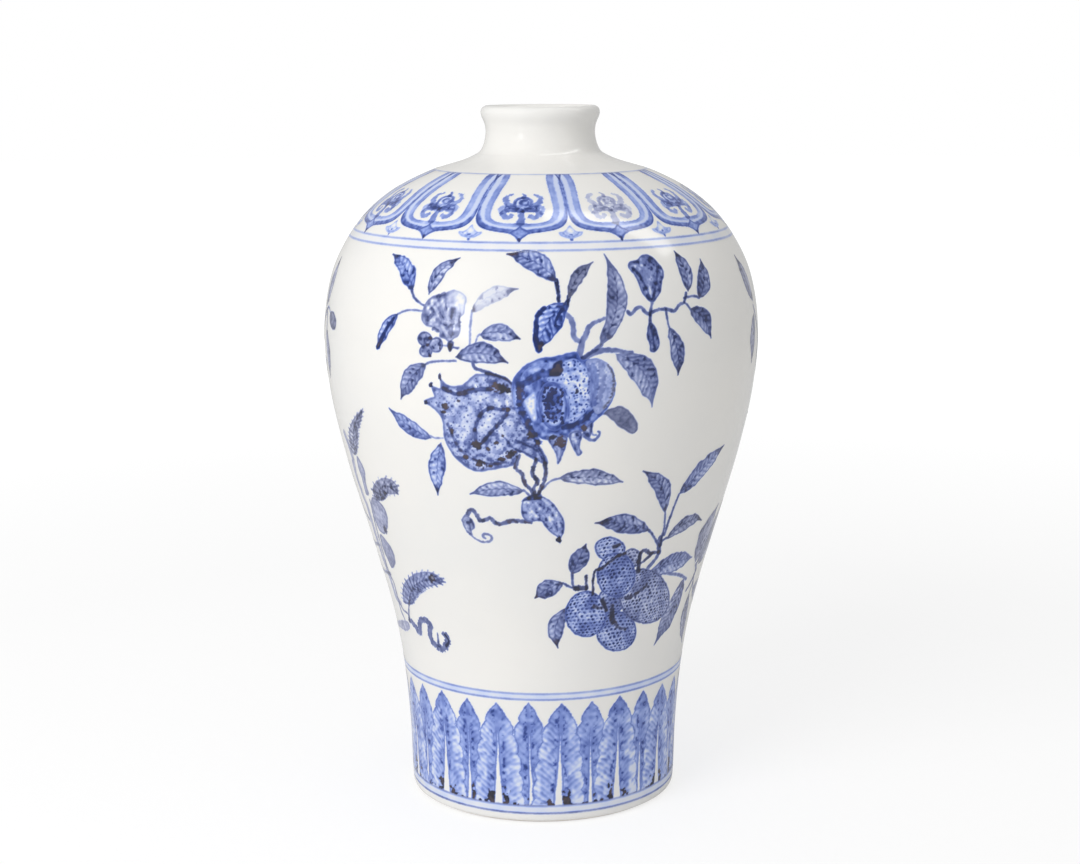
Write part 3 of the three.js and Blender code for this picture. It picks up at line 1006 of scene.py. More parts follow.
def lappet(patch, centre):
    """One lappet: a dark line, a pale band and a softer blue one, by the share of the way in
    from its outer outline to its field. The dark line is broad along the bottom."""
    patch.brush = BORDER_BRIGHT
    patch.to_wall = lappet_chart(centre)
    outer = patch.to_wall(curve_through(mirrored(LAPPET_OUTLINE), closes=True))
    window = patch.window(outer, 2)
    field_places = patch.to_wall(curve_through(mirrored(LAPPET_FIELD), closes=True))
    middle = (outer.min(0) + outer.max(0)) / 2
    field = np.stack([(field_places[:, 0] - middle[0]) * radius_at(field_places[:, 1]),
                      field_places[:, 1] - middle[1]], -1)
    fine, grain, cloud = patch.noise(window)
    from_outer = inside_of(window, window.points)
    from_field = inside_of(window, field)
    way_in = from_outer / np.maximum(from_outer - from_field, 1e-3) + (fine - 0.5) * 0.06
    t = (SHOULDER_TOP - patch.climb[window.rows][:, None]) / (SHOULDER_TOP - LAPPET_TIP)
    low = ease(t, 0.58, 0.86)
    dark = ease(-way_in, -0.24 - 0.28 * low, -0.08 - 0.28 * low)
    soft = ease(way_in, 0.46 + 0.16 * low, 0.60 + 0.16 * low)
    tone = 0.15 + dark * (0.26 + 0.20 * low + 0.3 * (grain - 0.5))
    tone = tone + soft * (0.20 + 0.26 * (cloud - 0.5) + 0.12 * (grain - 0.5))
    tone = tone + 0.20 * np.exp(-((way_in - 0.05) / 0.07) ** 2)
    tone = tone + 0.10 * np.exp(-((way_in - 0.95) / 0.08) ** 2)
    tone = tone + 0.16 * ease(-t, -0.16, -0.04) * (dark + soft)
    cover = ease(from_outer, -0.15, 0.25) * ease(1.0 - way_in, -0.05, 0.05)
    cover = cover * ease(t, -0.005, 0.01)
    patch.lay(window, tone * cover)
    patch.to_wall = around(centre, LAPPET_TIP)
    shape(patch, mirrored([(0, 8.2), (1.9, 6.2), (5.2, 4.4), (2.4, 2.4), (0.7, 0.8), (0, -0.6)]), 0.40,
          edge=0.76, edge_width=0.6, mottle=0.1, round_off=False)
    spot(patch, (0, 0.7), 1.5, 2.6, tone=0.7, heap=0.3)


def pendant(patch, centre):
    """A small fan between two lappets, pale, with a white lozenge and a dark dot in it."""
    patch.brush = BORDER_BRIGHT
    patch.to_wall = around(centre, LAPPET_TIP)
    fan = [(0, 8.4), (1.6, 6.0), (3.2, 4.8), (5.4, 4.6), (4.9, 3.0), (2.8, 1.7), (1.0, 1.2), (0, 0.2)]
    shape(patch, mirrored(fan), 0.18, edge=0.36, mottle=0.1)
    shape(patch, [(0, 7.0), (1.7, 5.2), (0, 3.6), (-1.7, 5.2)], 0.02, edge=0.12, mottle=0.0)
    line(patch, [(-3.4, 4.0), (-2.2, 2.8), (0, 2.1), (2.2, 2.8), (3.4, 4.0)], 0.8, 0.24)
    spot(patch, (0, 3.2), 1.6, 1.2, tone=0.5, heap=0.0)
    spot(patch, (0, 0.6), 1.5, 1.6, tone=0.5, heap=0.0)


# %% The cloud scrolls in the lappets
CLOUD_BODY = mirrored([(0, 18.6), (3, 20), (6.4, 20.2), (8, 18.2), (7.4, 16.4), (4.4, 16), (1.6, 16.2),
    (0, 15.6)])
CLOUD_HEAD = [(-3.4, 20), (-3.7, 22.2), (-2.8, 24.6), (0, 26), (2.9, 24.8), (4, 22.3), (3.4, 20),
    (0.4, 18.8)]
CLOUD_HEAD_RIM = [(-3.3, 20.2), (-3.6, 22.3), (-2.8, 24.5), (0, 25.8), (2.9, 24.6), (3.9, 22.2),
    (3.2, 20.4)]
CLOUD_HEAD_CURL = [(2.4, 22.9), (2.3, 21.2), (1.1, 20.5), (-0.5, 21.3), (-1.1, 22.6), (-0.2, 23.7),
    (1.3, 23.7)]
CLOUD_HEAD_LIGHT = [(-2.2, 20.9), (-2.3, 22.8), (-1.0, 24.5), (1.2, 24.8), (2.8, 23.6)]
CLOUD_TIP = [(-0.7, 28.7), (0.3, 27.4), (0, 26.0)]
CLOUD_HORN = [(2.6, 18.8), (5.2, 19.9), (7.0, 22.2), (7.5, 24.4), (6.7, 26.6), (4.9, 27.9)]
CLOUD_LOBE = [(6.8, 19.6), (8.6, 18.8), (9.2, 16.8), (8.6, 14.8)]
CLOUD_HOOK = [(1.0, 16.8), (4.3, 17.3), (7.2, 16.4), (8.1, 14.6), (7, 12.9), (5.4, 12.5), (4.3, 13.4)]
CLOUD_STEM = [(0.1, 17.2), (0.1, 13.4), (0, 9.6)]


def cloud_scroll(patch, centre, painted_reflection):
    """A cloud scroll: a round head with a curl in it, two flaming horns, two hooks and a stem.

    Each side is moved a little at random, as the painter's hand does.
    """
    patch.to_wall = around(centre, LAPPET_TIP)
    # The scroll under the strip lamp's reflection is painted paler and greyer: a painted reflection.
    patch.brush = 0.1 if painted_reflection else 0.85
    strength = 0.5 if painted_reflection else patch.draw.uniform(0.86, 1.0)
    shape(patch, CLOUD_BODY, 0.34 * strength, edge=0.44 * strength, mottle=0.22)
    for side in (-1, 1):
        shift = patch.draw.uniform(-0.35, 0.35, 2)
        for points, thick, thin, tone in ((CLOUD_HOOK, 2.8, 2.6, 0.46), (CLOUD_HORN, 4.0, 1.4, 0.46),
                                          (CLOUD_LOBE, 2.6, 1.6, 0.34)):
            moved = (np.array(points) + shift) * (side, 1)
            line(patch, moved, thick, tone * strength, thin=thin, waver=0.9)
    line(patch, CLOUD_STEM, 2.0, 0.54 * strength, thin=3.6, waver=0.6)
    shape(patch, CLOUD_HEAD, 0.36 * strength, edge=0.36 * strength, mottle=0.2)
    light_line(patch, CLOUD_HEAD_LIGHT, 1.3, 0.6)
    line(patch, CLOUD_HEAD_RIM, 1.7, 0.54 * strength, thin=1.5)
    line(patch, CLOUD_HEAD_CURL, 1.1, 0.50 * strength, thin=1.5)
    line(patch, CLOUD_TIP, 0.8, 0.6 * strength, thin=2.4)
    spot(patch, (0.2, 16.4), 1.9, 2.0, tone=0.55 * strength, heap=0.2)


BORDER_SEAM = LAPPET_FIRST - 6.5 * 2 * math.pi / LAPPETS
shoulder = Patch("painted_shoulder_border", (BORDER_SEAM, BORDER_SEAM + 2 * math.pi),
                 (SHOULDER_LOW_RING - 2, SHOULDER_TOP + 2), None, seed=11, cell=0.4)
for k in range(-6, 6):
    lappet(shoulder, LAPPET_FIRST + k * 2 * math.pi / LAPPETS)
# One cloud scroll is painted pale and grey as a painted reflection of the strip above.
for k in range(-6, 6):
    cloud_scroll(shoulder, LAPPET_FIRST + k * 2 * math.pi / LAPPETS, painted_reflection=k == REFLECTION_LAPPET)
for k in range(-7, 6):
    pendant(shoulder, LAPPET_FIRST + (k + 0.5) * 2 * math.pi / LAPPETS)
ring(shoulder, SHOULDER_TOP, wide=1.3, tone=0.24, bright=0.3)
ring(shoulder, SHOULDER_RING)
ring(shoulder, SHOULDER_LOW_RING)
band(shoulder, SHOULDER_LOW_RING, SHOULDER_RING, 0.07)
shoulder.quarters("painted_shoulder_border")

# %% The plantain leaves of the foot
FOOT_LEAVES = 28
FOOT_LEAF_TIP = climb_at(59.4)
FOOT_LEAF_BASE = FOOT_LOW_RING + 0.4
FRONT_HALF = ((0, 0.05, 0.1, 0.15, 0.25, 0.36, 0.5, 0.75, 1), (0.3, 2.6, 4.5, 5.9, 7.7, 9.4, 10.6, 11.8,
    12.6))
BACK_HALF = ((0, 0.05, 0.1, 0.15, 0.25, 0.5, 1), (0.3, 2.3, 3.9, 5.0, 6.6, 8.4, 9.4))
LOBE = 9.4
LOBE_DEEP = 1.7
FOOT_VEIN_GAP = 2.9
RIB_WIDE = {True: 1.75, False: 0.85}
FIRST_TIPS = {
    "far left": (411, 676),
    "left, back": (423, 686),
    "left, front": (442, 692),
    "third, back": (467, 700),
    "third, front": (496, 702),
    "middle, back": (528, 706),
    "middle, front": (562, 703),
    "fifth, back": (592, 702),
    "fifth, front": (620, 698),
    "right, back": (643, 693),
    "right, front": (662, 684),
    "far right": (674, 677),
}


def foot_leaf(patch, turn, in_front):
    """A plantain leaf standing on the foot.

    t runs from 0 at its tip to 1 at its base. Its half width is drawn through a few sizes and
    swells in lobes. Veins rise outwards from a white midrib that widens towards the base, and
    at the base the cobalt is heaped in a smudge on either side of the midrib.
    """
    tip = FOOT_LEAF_TIP + patch.draw.uniform(-0.8, 0.8)
    smudges = patch.draw.uniform(-1.0, 8.5, 2)
    lean = patch.draw.uniform(-0.03, 0.03)
    tall = tip - FOOT_LEAF_BASE
    window = patch.window([(turn, tip), (turn, FOOT_LEAF_BASE)], 16)
    if not window.x.size:
        return
    fine, grain, cloud = patch.noise(window)
    down = tip - patch.climb[window.rows][:, None]
    x = window.x + 0.5 * (cloud - 0.5) + lean * down
    t = np.clip(down / tall, 0, 1)
    left = x < 0
    lobe = (down / LOBE + np.where(left, 0.0, 0.37)) % 1
    half = np.interp(t, *(FRONT_HALF if in_front else BACK_HALF))
    swell = np.sin(math.pi * lobe) ** 0.6
    half = half + (swell - 0.7) * LOBE_DEEP * ease(t, 0.06, 0.25)
    depth = np.minimum(half - np.abs(x) + (fine - 0.5) * 0.6, down + 0.3)
    cover = ease(depth, -0.3, 0.4) * ease(tall - down, -0.3, 0.2)
    out = np.abs(x) / np.maximum(half, 0.5)
    bent = down + 1.15 * np.abs(x) - 0.03 * x**2 + 1.3 * (cloud - 0.5) + 0.9 * (grain - 0.5)
    vein = (0.5 + 0.5 * np.cos(2 * math.pi * bent / FOOT_VEIN_GAP)) * (0.4 + 0.9 * grain)
    clear = np.where(left, 1.0, 0.6) if in_front else 0.55
    tone = 0.455 - (0.30 if in_front else 0.17) * ease(out, 0.1, 1.0) * ease(t, 0.08, 0.3)
    tone = tone + 0.19 * clear * (vein - 0.44) * ease(t, 0.06, 0.25) * ease(out, 0.05, 0.3)
    tone = tone + 0.20 * (cloud - 0.5) + 0.26 * (grain - 0.5)
    tone = tone + 0.16 * (1 - swell) * ease(out, 0.5, 0.9) * ease(t, 0.06, 0.25)
    ribbed = np.abs(x) - RIB_WIDE[in_front] * ease(t, 0.22, 1.5) * 1.7
    beads = ease(fine + grain, 1.12, 1.5) * ease(ribbed, 0.6, 1.2) * ease(-ribbed, -3.4, -2.4)
    tone = tone + 0.26 * beads
    rim = np.exp(-(np.maximum(depth - 0.3, 0) / 0.48) ** 2)
    tone = tone + (0.62 - tone) * rim * (0.6 + 0.6 * grain)
    tone = np.maximum(tone, 0.56 * np.exp(-((ribbed - 0.45) / 0.5) ** 2) * ease(t, 0.15, 0.3))
    white = ease(-ribbed + (fine - 0.5) * 0.3, -0.2, 0.3) * ease(t, 0.24, 0.34)
    tone = np.clip(tone, 0.1, 0.9) * (1 - 0.95 * white)
    above = tall - down
    smoke = ease(np.where(left, *smudges) + 7.0 * (grain - 0.5) + 3.0 * (fine - 0.5) - above, 0, 1.6)
    smoke = smoke * ease(1.6 - np.abs(ribbed - 1.8) + 2.6 * (grain - 0.5) + 1.4 * (fine - 0.5), -0.1, 0.8)
    smoke = np.maximum(smoke, ease(grain + 0.3 * fine, 0.72, 0.9) * ease(1.5 - above, 0, 0.9)) * (1 - white)
    tone = np.maximum(tone, 0.94 * smoke)
    patch.brush = BORDER_BRIGHT
    patch.wipe(window, cover)
    patch.lay(window, tone * cover, ease(smoke, 0.2, 0.8) * cover)


seen_tips = np.sort(cast(list(FIRST_TIPS.values()))[:, 0])
unseen = FOOT_LEAVES - len(seen_tips)
gap_behind = (2 * math.pi - np.ptp(seen_tips)) / (unseen + 1)
all_tips = np.concatenate([seen_tips, seen_tips[-1] + gap_behind * np.arange(1, unseen + 1)])
foot = Patch("painted_foot_border", (seen_tips[0], seen_tips[0] + 2 * math.pi),
             (FOOT_LAST_RING - 1.2, FOOT_HIGH_RING + 1.5), None, seed=12, cell=0.4)
for in_front in (False, True):
    for number, turn in enumerate(all_tips):
        if (number % 2 == 0) == in_front:
            for lap in (-2 * math.pi, 0, 2 * math.pi):
                foot_leaf(foot, turn + lap, in_front)
ring(foot, FOOT_HIGH_RING)
ring(foot, FOOT_SECOND_RING, tone=0.38)
band(foot, FOOT_SECOND_RING, FOOT_HIGH_RING, 0.12)
ring(foot, FOOT_LOW_RING, tone=0.36, bright=0.4)
ring(foot, FOOT_LAST_RING, wide=0.9, tone=0.52, bright=0.25)
band(foot, FOOT_LAST_RING, FOOT_LOW_RING, 0.10)
foot.quarters("painted_foot_border")

# %% [markdown]
# ## The pomegranate spray
# The front carries a branch with two ripe pomegranates, a blossom, buds and some twenty
# leaves. Each leaf is given by the pixels of its base and tip, its width in millimetres and its
# bow, and each twig by the pixels that it passes. What lies behind is painted first.

# %% Paint a spray from its lists
def spray_patch(name, points, seed, to_wall=cast, margin=4.0, also=()):
    """A patch that reaches round all the given points of a spray, and also some turns and climbs."""
    turns, climbs = np.vstack([to_wall(points), *also]).T
    spare = margin / radius_at(climbs).min()
    return Patch(name, (turns.min() - spare, turns.max() + spare),
                 (climbs.min() - margin, climbs.max() + margin), to_wall, seed)


def paint_leaves(patch, leaves):
    """Leaves from rows of base, tip, width and bow, with what else sets one apart."""
    for base, tip, width, bend, finish in leaves.values():
        leaf(patch, base, tip, width, bend, **finish)


def paint_twigs(patch, twigs):
    for points, thick, thin, tone in twigs.values():
        line(patch, points, thick, tone, thin=thin)


POMEGRANATE_LEAVES = {
    "left of the blossom": ((413, 290), (393, 254), 7.4, -0.1, dict(wash=0.5, bright=0.9)),
    "right of the blossom": ((429, 294), (460, 258), 5.8, 0.13, dict(wash=0.36)),
    "black tipped, left": ((398, 314), (377, 348), 6, -0.06, dict(wash=0.5, burnt=1.0, bright=0.8)),
    # The pale leaf over the middle is painted pale and grey where the lamp on the left is reflected: a painted
    # reflection.
    "pale, over the middle": ((472, 312), (518, 289), 6.4, 0.12, dict(wash=0.12, edge=0.22, burnt=0.6,
        veins=0.08, midrib=0.05, shade=-0.06, bright=0.0)),
    "middle, upper": ((480, 335), (520, 339), 6.8, 0.12, dict(wash=0.34, edge=0.6)),
    "middle, lower": ((456, 357), (508, 363), 8.8, 0.13, {}),
    "over the left fruit": ((426, 364), (401, 399), 7.8, -0.08, {}),
    "hooked, at the top": ((556, 281), (507, 254), 8.8, -0.12, dict(burnt=1.0, veins=0.5, bright=0.65)),
    "narrow, at the top": ((569, 298), (593, 262), 4.8, 0.1, dict(wash=0.6, burnt=0.7, bright=0.1,
        veins=0.2)),
    "black edged": ((566, 303), (539, 351), 11, -0.12, dict(wash=0.5, burnt=1.0, edge=0.85, veins=0.6,
        bright=1.0)),
    "tall, grey": ((600, 346), (604, 254), 9, -0.15, dict(wash=0.54, burnt=0.7, edge=0.7, veins=0.3,
        bright=0.3)),
    "long, on the right": ((616, 354), (652, 407), 11.5, 0.17, dict(burnt=0.6, edge=0.66)),
    "by the left stem": ((431, 438), (389, 408), 7.4, 0.05, dict(wash=0.5, burnt=0.8, bright=0.7,
        drip=0.34)),
    "hanging, left": ((441, 443), (438, 495), 7.2, -0.04, dict(wash=0.36, burnt=0.95, edge=0.84,
        bright=0.8)),
    "foot, left": ((524, 491), (470, 494), 6.6, -0.08, dict(wash=0.36, burnt=0.8)),
    "foot, right": ((559, 478), (623, 482), 7.2, 0.05, dict(wash=0.4, burnt=0.72, bright=0.25,
        drip=0.16)),
    "far right, one": ((688, 291), (674, 251), 7.6, -0.1, dict(wash=0.6)),
    "far right, two": ((699, 298), (700, 259), 7.8, -0.12, dict(wash=0.6)),
    "far right, three": ((690, 309), (711, 338), 8.6, 0.14, dict(wash=0.6, burnt=0.85)),
    "far right, hanging": ((669, 327), (678, 375), 7.4, 0.08, dict(wash=0.58)),
}
POMEGRANATE_TWIGS = {
    "blossom leaf": ([(412, 290), (414, 297), (420, 303), (425, 306)], 1.3, 1.1, 0.7),
    "black tipped leaf": ([(398, 314), (405, 311), (412, 310), (424, 311)], 1.0, 0.9, 0.55),
    "pale leaf": ([(472, 311), (470, 329), (470, 345)], 1.1, 1.1, 0.42),
    "upper leaf": ([(480, 334), (477, 338), (475, 346)], 0.9, 0.9, 0.5),
    "to the left": ([(426, 364), (431, 362), (440, 361), (456, 361)], 1.0, 1.0, 0.55),
    "lower left": ([(430, 436), (436, 438), (443, 438)], 1.2, 0.8, 0.42),
    "foot leaf, left": ([(523, 490), (526, 492), (530, 496)], 1.1, 1.2, 0.6),
    "foot leaf, right": ([(561, 478), (551, 481), (542, 489), (538, 494)], 1.0, 1.2, 0.5),
    "hooked leaf": ([(556, 280), (558, 291), (559, 301)], 1.8, 1.7, 0.93),
    "narrow leaf": ([(569, 297), (567, 303), (566, 308)], 1.8, 1.8, 0.97),
    "down to the fruit": ([(563, 313), (571, 319), (573, 328), (574, 337), (579, 341)], 2.4, 2.2, 0.52),
    "up from the fruit": ([(579, 356), (582, 344), (586, 333), (590, 326), (598, 321), (611, 316)], 3.2,
        1.4, 0.56),
    "to the right": ([(628, 312), (631, 314), (637, 308), (642, 308), (648, 314), (657, 310), (666, 309),
        (674, 311), (679, 305), (684, 302), (686, 293)], 1.8, 1.4, 0.66),
    "right, two": ([(684, 298), (694, 296), (699, 298)], 1.2, 1.0, 0.65),
    "right, three": ([(684, 302), (687, 305), (690, 309)], 1.2, 1.1, 0.7),
    "hanging leaf": ([(666, 309), (667, 318), (669, 327)], 1.2, 1.1, 0.65),
    "under the round bud": ([(652, 303), (651, 309), (650, 315)], 1.6, 1.4, 0.66),
    "over the long bud": ([(650, 315), (650, 319), (650, 324)], 1.6, 1.4, 0.75),
    "tall leaf": ([(602, 344), (595, 350), (586, 356), (580, 361)], 1.6, 2.2, 0.55),
    "long leaf": ([(584, 359), (594, 353), (607, 350), (619, 351), (632, 353)], 2.8, 1.6, 0.56),
    "to the left fruit": ([(473, 362), (474, 367), (480, 370), (490, 373), (505, 380)], 1.4, 1.4, 0.66),
}
FRUIT_STEMS = {
    "one": [(519, 456), (516, 468), (522, 474), (525, 483), (531, 490), (533, 497)],
    "two": [(536, 460), (532, 474), (538, 481), (534, 488), (535, 496)],
    "three": [(545, 463), (545, 478), (541, 488), (538, 496)],
}
END_TWIG = [(531, 522), (523, 521), (511, 521), (505, 523), (499, 524), (494, 522), (490, 518),
    (485, 520), (480, 520), (476, 514), (471, 510), (466, 517), (463, 520)]
END_CLUSTER = [(462, 518), (466, 515), (472, 519), (475, 527), (472, 531), (473, 535), (467, 532),
    (463, 525)]
END_SPIRAL = [(470, 534), (476, 539), (483, 542), (490, 541), (492, 538), (490, 535), (485, 534),
    (483, 536), (485, 538)]
JUNCTION = [(521, 502), (524, 498), (529, 496), (535, 494), (541, 494), (542, 498), (535, 500),
    (527, 501)]
GREY_LEAF = [(602, 414), (607, 410), (612, 408), (618, 406), (624, 407), (629, 411), (636, 420),
    (638, 428), (636, 432), (632, 434), (626, 431), (618, 426), (611, 419), (606, 415)]
TWO_LOBED_LEAF = [(522, 501), (527, 498), (534, 496), (542, 496), (551, 501), (559, 511), (564, 521),
    (564, 532), (561, 539), (560, 544), (558, 538), (551, 533), (545, 526), (541, 521), (530, 522),
    (523, 518), (521, 509)]
TWO_LOBED_FOLDS = {"upper": [(543, 499), (552, 509), (558, 521), (560, 534)], "lower": [(536, 504),
    (545, 513), (552, 524), (557, 534)], "left": [(528, 502), (531, 510), (538, 517)]}
BLOSSOM = [(425, 304), (422, 312), (422, 321), (426, 326), (433, 328), (439, 332), (440, 337), (445, 339),
    (450, 343), (454, 339), (459, 335), (461, 328), (460, 319), (464, 314), (466, 304), (466, 296),
    (460, 291), (452, 290), (444, 294), (436, 295), (429, 299)]
# Where the blossom lies under the reflection of the lamp on the left, it is painted paler: a painted reflection.
BLOSSOM_REFLECTION = [(447, 299), (450, 291), (460, 290), (467, 296), (466, 306), (462, 315), (456, 308)]
BLOSSOM_PALE_FOLDS = {
    "left": [(435, 307), (438, 313), (443, 321), (449, 323)],
    "right": [(442, 302), (446, 313), (450, 321), (455, 322)],
    "outer": [(457, 303), (458, 312), (456, 322)],
    "low": [(442, 326), (446, 333), (449, 338)],
}
BLOSSOM_DARK_FOLDS = {
    "middle": ([(440, 314), (443, 320), (446, 324)], 1.8, 0.72),
    "heart": ([(446, 305), (446, 309), (446, 312)], 1.8, 0.55),
    "right of the heart": ([(454, 307), (453, 312), (452, 317)], 1.4, 0.5),
    "neck": ([(452, 322), (451, 329), (450, 336)], 3, 0.58),
    "left": ([(432, 309), (432, 314), (428, 320)], 2.2, 0.56),
    "foot": ([(433, 329), (438, 330)], 1.9, 0.76),
    "right edge": ([(460, 314), (459, 320), (460, 326)], 1.5, 0.66),
    "upper edge": ([(438, 296), (444, 294)], 1.8, 0.55),
}
SMALL_BUD_LOBES = {
    "upper": ((425, 339), 7.5, 7.5), "right": ((436, 345), 7.2, 8.0), "low": ((426, 351), 7.0, 6.6),
}
SMALL_BUD_DOTS = {"heart": ((428, 345), 2, 1.8), "right": ((440, 348), 1.4, 2), "upper": ((431, 338), 2.4,
    1.6), "low": ((430, 356), 1.8, 1.4)}
BROWN_KNOT = [(447, 344), (450, 340), (454, 342), (454, 346), (459, 347), (458, 350), (453, 349),
    (450, 352), (448, 348)]
KNOT_STALK = [(441, 345.8), (444.5, 345.6), (448, 346)]
ROUND_BUD = [(628, 268), (629, 262), (636, 260), (640, 256), (646, 254), (652, 257), (657, 262),
    (662, 268), (664, 275), (662, 281), (661, 291), (657, 298), (652, 303), (647, 299), (641, 292),
    (638, 283), (634, 275)]
LONG_BUD = [(649, 323), (652, 323), (656, 328), (658, 335), (660, 343), (658, 349), (654, 352),
    (650, 351), (649, 344), (647, 337), (647, 329)]

BUD_FOLDS = {"left": [(633, 268), (640, 277), (647, 290), (651, 300)], "right": [(657, 267), (657, 279),
    (654, 292), (652, 300)], "long": [(651, 327), (653, 336), (654, 346)]}

BLACK_EDGES = {
    "black edged": ([(545, 308), (538, 315), (536, 327), (536, 339), (539, 350)], 1.8, 2.8),
    "black edged, blots": ([(562, 309), (557, 318), (555, 326)], 1.6, 1.0),
    "black tipped": ([(378, 347), (382, 338), (387, 328), (394, 318)], 2.6, 1.4),
}


def mottled(patch, points, **given):
    """A bud or a folded leaf: a shape with dark strokes and light gaps all over it."""
    window, depth = shape(patch, points, **given)
    fine, grain, cloud = patch.noise(window)
    inside = ease(depth, 0.2, 0.7)
    patch.lay(window, 0.6 * ease(grain + 0.35 * fine, 0.74, 1.0) * inside)
    lighten(patch, window, 0.45 * ease(-grain - 0.3 * fine, -0.42, -0.2) * inside)
    return window, depth


def blossom(patch):
    """A pomegranate flower, greyish, with open folds, painted paler at its upper right: a painted reflection."""
    patch.brush = 0.3
    shape(patch, BLOSSOM, 0.40, edge=0.54, mottle=0.34)
    for points, thick, tone in BLOSSOM_DARK_FOLDS.values():
        line(patch, points, 0.8 * thick, 0.75 * tone, heap=0.1, waver=0.8)
    for points in BLOSSOM_PALE_FOLDS.values():
        light_line(patch, points, 1.4, 0.45)
    # The upper right is lightened as a painted reflection of the lamp on the left.
    window = patch.window(patch.to_wall(BLOSSOM_REFLECTION), 3)
    painted_reflection = inside_of(window, curve_through(window.points, closes=True))
    lighten(patch, window, 0.66 * ease(painted_reflection, -1.6, 2.0))
    patch.brush = 0.35
    for given in SMALL_BUD_LOBES.values():
        mottled(patch, oval(*given), wash=0.46, edge=0.78, mottle=0.3)
    for centre, wide, high in SMALL_BUD_DOTS.values():
        spot(patch, centre, wide, high, tone=0.75, heap=0.5)
    shape(patch, BROWN_KNOT, 0.72, edge=0.74, over=False, heap=0.9, mottle=0.1)
    line(patch, KNOT_STALK, 0.8, 0.4)


# %% The two pomegranates
LEFT_FRUIT = [(440, 375), (442, 380), (447, 384), (454, 386), (463, 384), (470, 378), (476, 374),
    (486, 374), (496, 376), (507, 379), (513, 386), (515, 400), (521, 418), (532, 433), (541, 447),
    (548, 463), (536, 461), (527, 456), (519, 452), (516, 463), (508, 467), (502, 468), (486, 471),
    (474, 471), (461, 463), (450, 451), (444, 437), (442, 420), (437, 412), (430, 406), (424, 401),
    (430, 398), (434, 396), (432, 390), (430, 383), (434, 386), (440, 388), (440, 382)]
LEFT_FRUIT_PALE = {
    "under the lip": [(473, 394), (483, 392), (489, 396), (486, 403), (476, 404), (470, 400)],
    "middle": [(462, 409), (471, 405), (475, 412), (473, 424), (470, 436), (463, 440), (457, 431),
        (457, 418)],
    "right of the lip": [(491, 398), (503, 397), (508, 402), (500, 405), (491, 405)],
    "in the loop": [(480, 438), (479, 427), (484, 417), (492, 411), (500, 412), (496, 421), (489, 430)],
    "under the loop": [(499, 428), (505, 419), (511, 417), (514, 427), (508, 434), (500, 436)],
    "bottom": [(488, 450), (495, 443), (504, 442), (500, 450), (492, 456)],
    "left rim": [(446, 416), (450, 412), (452, 424), (453, 436), (449, 432)],
}
LIP_LINE = [(443, 388.5), (449, 391.5), (456.9, 394), (467, 392), (478.6, 389.3), (490, 389)]
OVER_LIP_LINE = [(486, 373.3), (496, 375.5), (505.4, 378.7), (512, 384)]
RIM_LINE = [(448, 424), (452, 434), (458, 446), (466, 455), (477, 461), (492, 464), (506, 462)]
LOOP_LEFT = [(476, 441), (475, 430), (478, 420), (483, 412), (490, 408), (498, 409), (504, 410)]
LOOP_RIGHT = [(508, 411), (502, 420), (496.4, 426.5), (488.8, 434), (483, 441.8), (479, 446)]
FLAP_LINES = {"upper": [(516, 440), (526, 445), (537, 451), (545, 462)], "lower": [(516, 449), (527, 454),
    (539, 460)], "side": [(531, 434), (538, 446), (546, 462)], "cross": [(505, 438), (512, 447),
    (520, 452)]}
LEFT_FRUIT_SPOTS = {
    "end of the lip": ((500, 388), 8, 4.2, -0.15),
    "end of the lip, right": ((508, 391), 3.4, 3.2, 0.0),
    "crown": ((445, 406), 4.2, 3.2, 0.2),
    "under the crown": ((444, 412), 2.6, 1.6, 0.0),
    "end of the loop": ((477, 445), 4.4, 4.4, 0.3),
    "low, right": ((511, 454), 6.6, 4, 0.6),
    "low, middle": ((502, 459), 4.2, 2.4, 0.1),
    "bottom": ((480, 464), 4.6, 4.6, 0.0),
    "bottom, right": ((490, 466), 3.2, 2.2, 0.0),
    "right": ((532, 434), 4.6, 4.4, 0.0),
    "right, low": ((538, 443), 2.4, 4, 0.5),
    "top of the loop": ((508, 410), 2.4, 2.2, 0.0),
    "rim, high": ((452, 431), 1.8, 2.6, 0.3),
    "rim, low": ((466, 457), 3.4, 2.2, -0.5),
    "seed, one": ((488, 449), 1.8, 2, 0.0),
    "seed, two": ((496, 443), 2.2, 2, 0.0),
    "seed, three": ((503, 436), 1.8, 1.6, 0.0),
    "seed, four": ((458, 401), 2.2, 1.8, 0.0),
}
CROWN_TIPS = {"top": ((440, 377), 1.6, 3.2), "middle": ((431, 385), 2.2, 2.4), "low": ((426, 402), 2,
    1.8)}
RIGHT_FRUIT = [(512, 384), (517, 373), (527, 364), (540, 358), (553, 357), (563, 354), (576, 352),
    (582, 360), (595, 358), (606, 362), (613, 370), (616, 383), (614, 396), (609, 406), (601, 416),
    (591, 425), (582, 432), (566, 438), (550, 440), (540, 438), (530, 431), (522, 417), (515, 401)]
TOP_BAND_LIGHT = [(524, 372), (533, 366), (545, 363), (550, 366), (541, 371), (529, 378), (521, 381)]
TOP_BAND_EDGE = [(519, 385), (527, 382.5), (533, 378), (541, 374), (549, 373)]
LEFT_BAND_LIGHT = [(514, 389), (519, 392), (518, 404), (521, 416), (517, 412), (513, 400)]
LEFT_BAND_DARK = [(520, 391), (520, 398), (520, 405), (523, 415), (528, 424), (532, 433), (539, 443)]
WHITE_CRESCENT = [(524, 401), (529, 396), (534, 392), (536, 398), (536, 409), (537, 419), (533, 421),
    (529, 414), (526, 408)]
DOTTED = [(558, 376), (562, 364), (572, 359), (580, 362), (588, 372), (592, 385), (592, 399), (586, 411),
    (577, 420), (569, 424), (570, 410), (567, 393), (561, 384), (548, 381), (549, 377)]
SPLIT, SPLIT_RING = oval((553, 406), 15, 24.5, -0.08), oval((553.5, 406), 11.4, 20, -0.05)
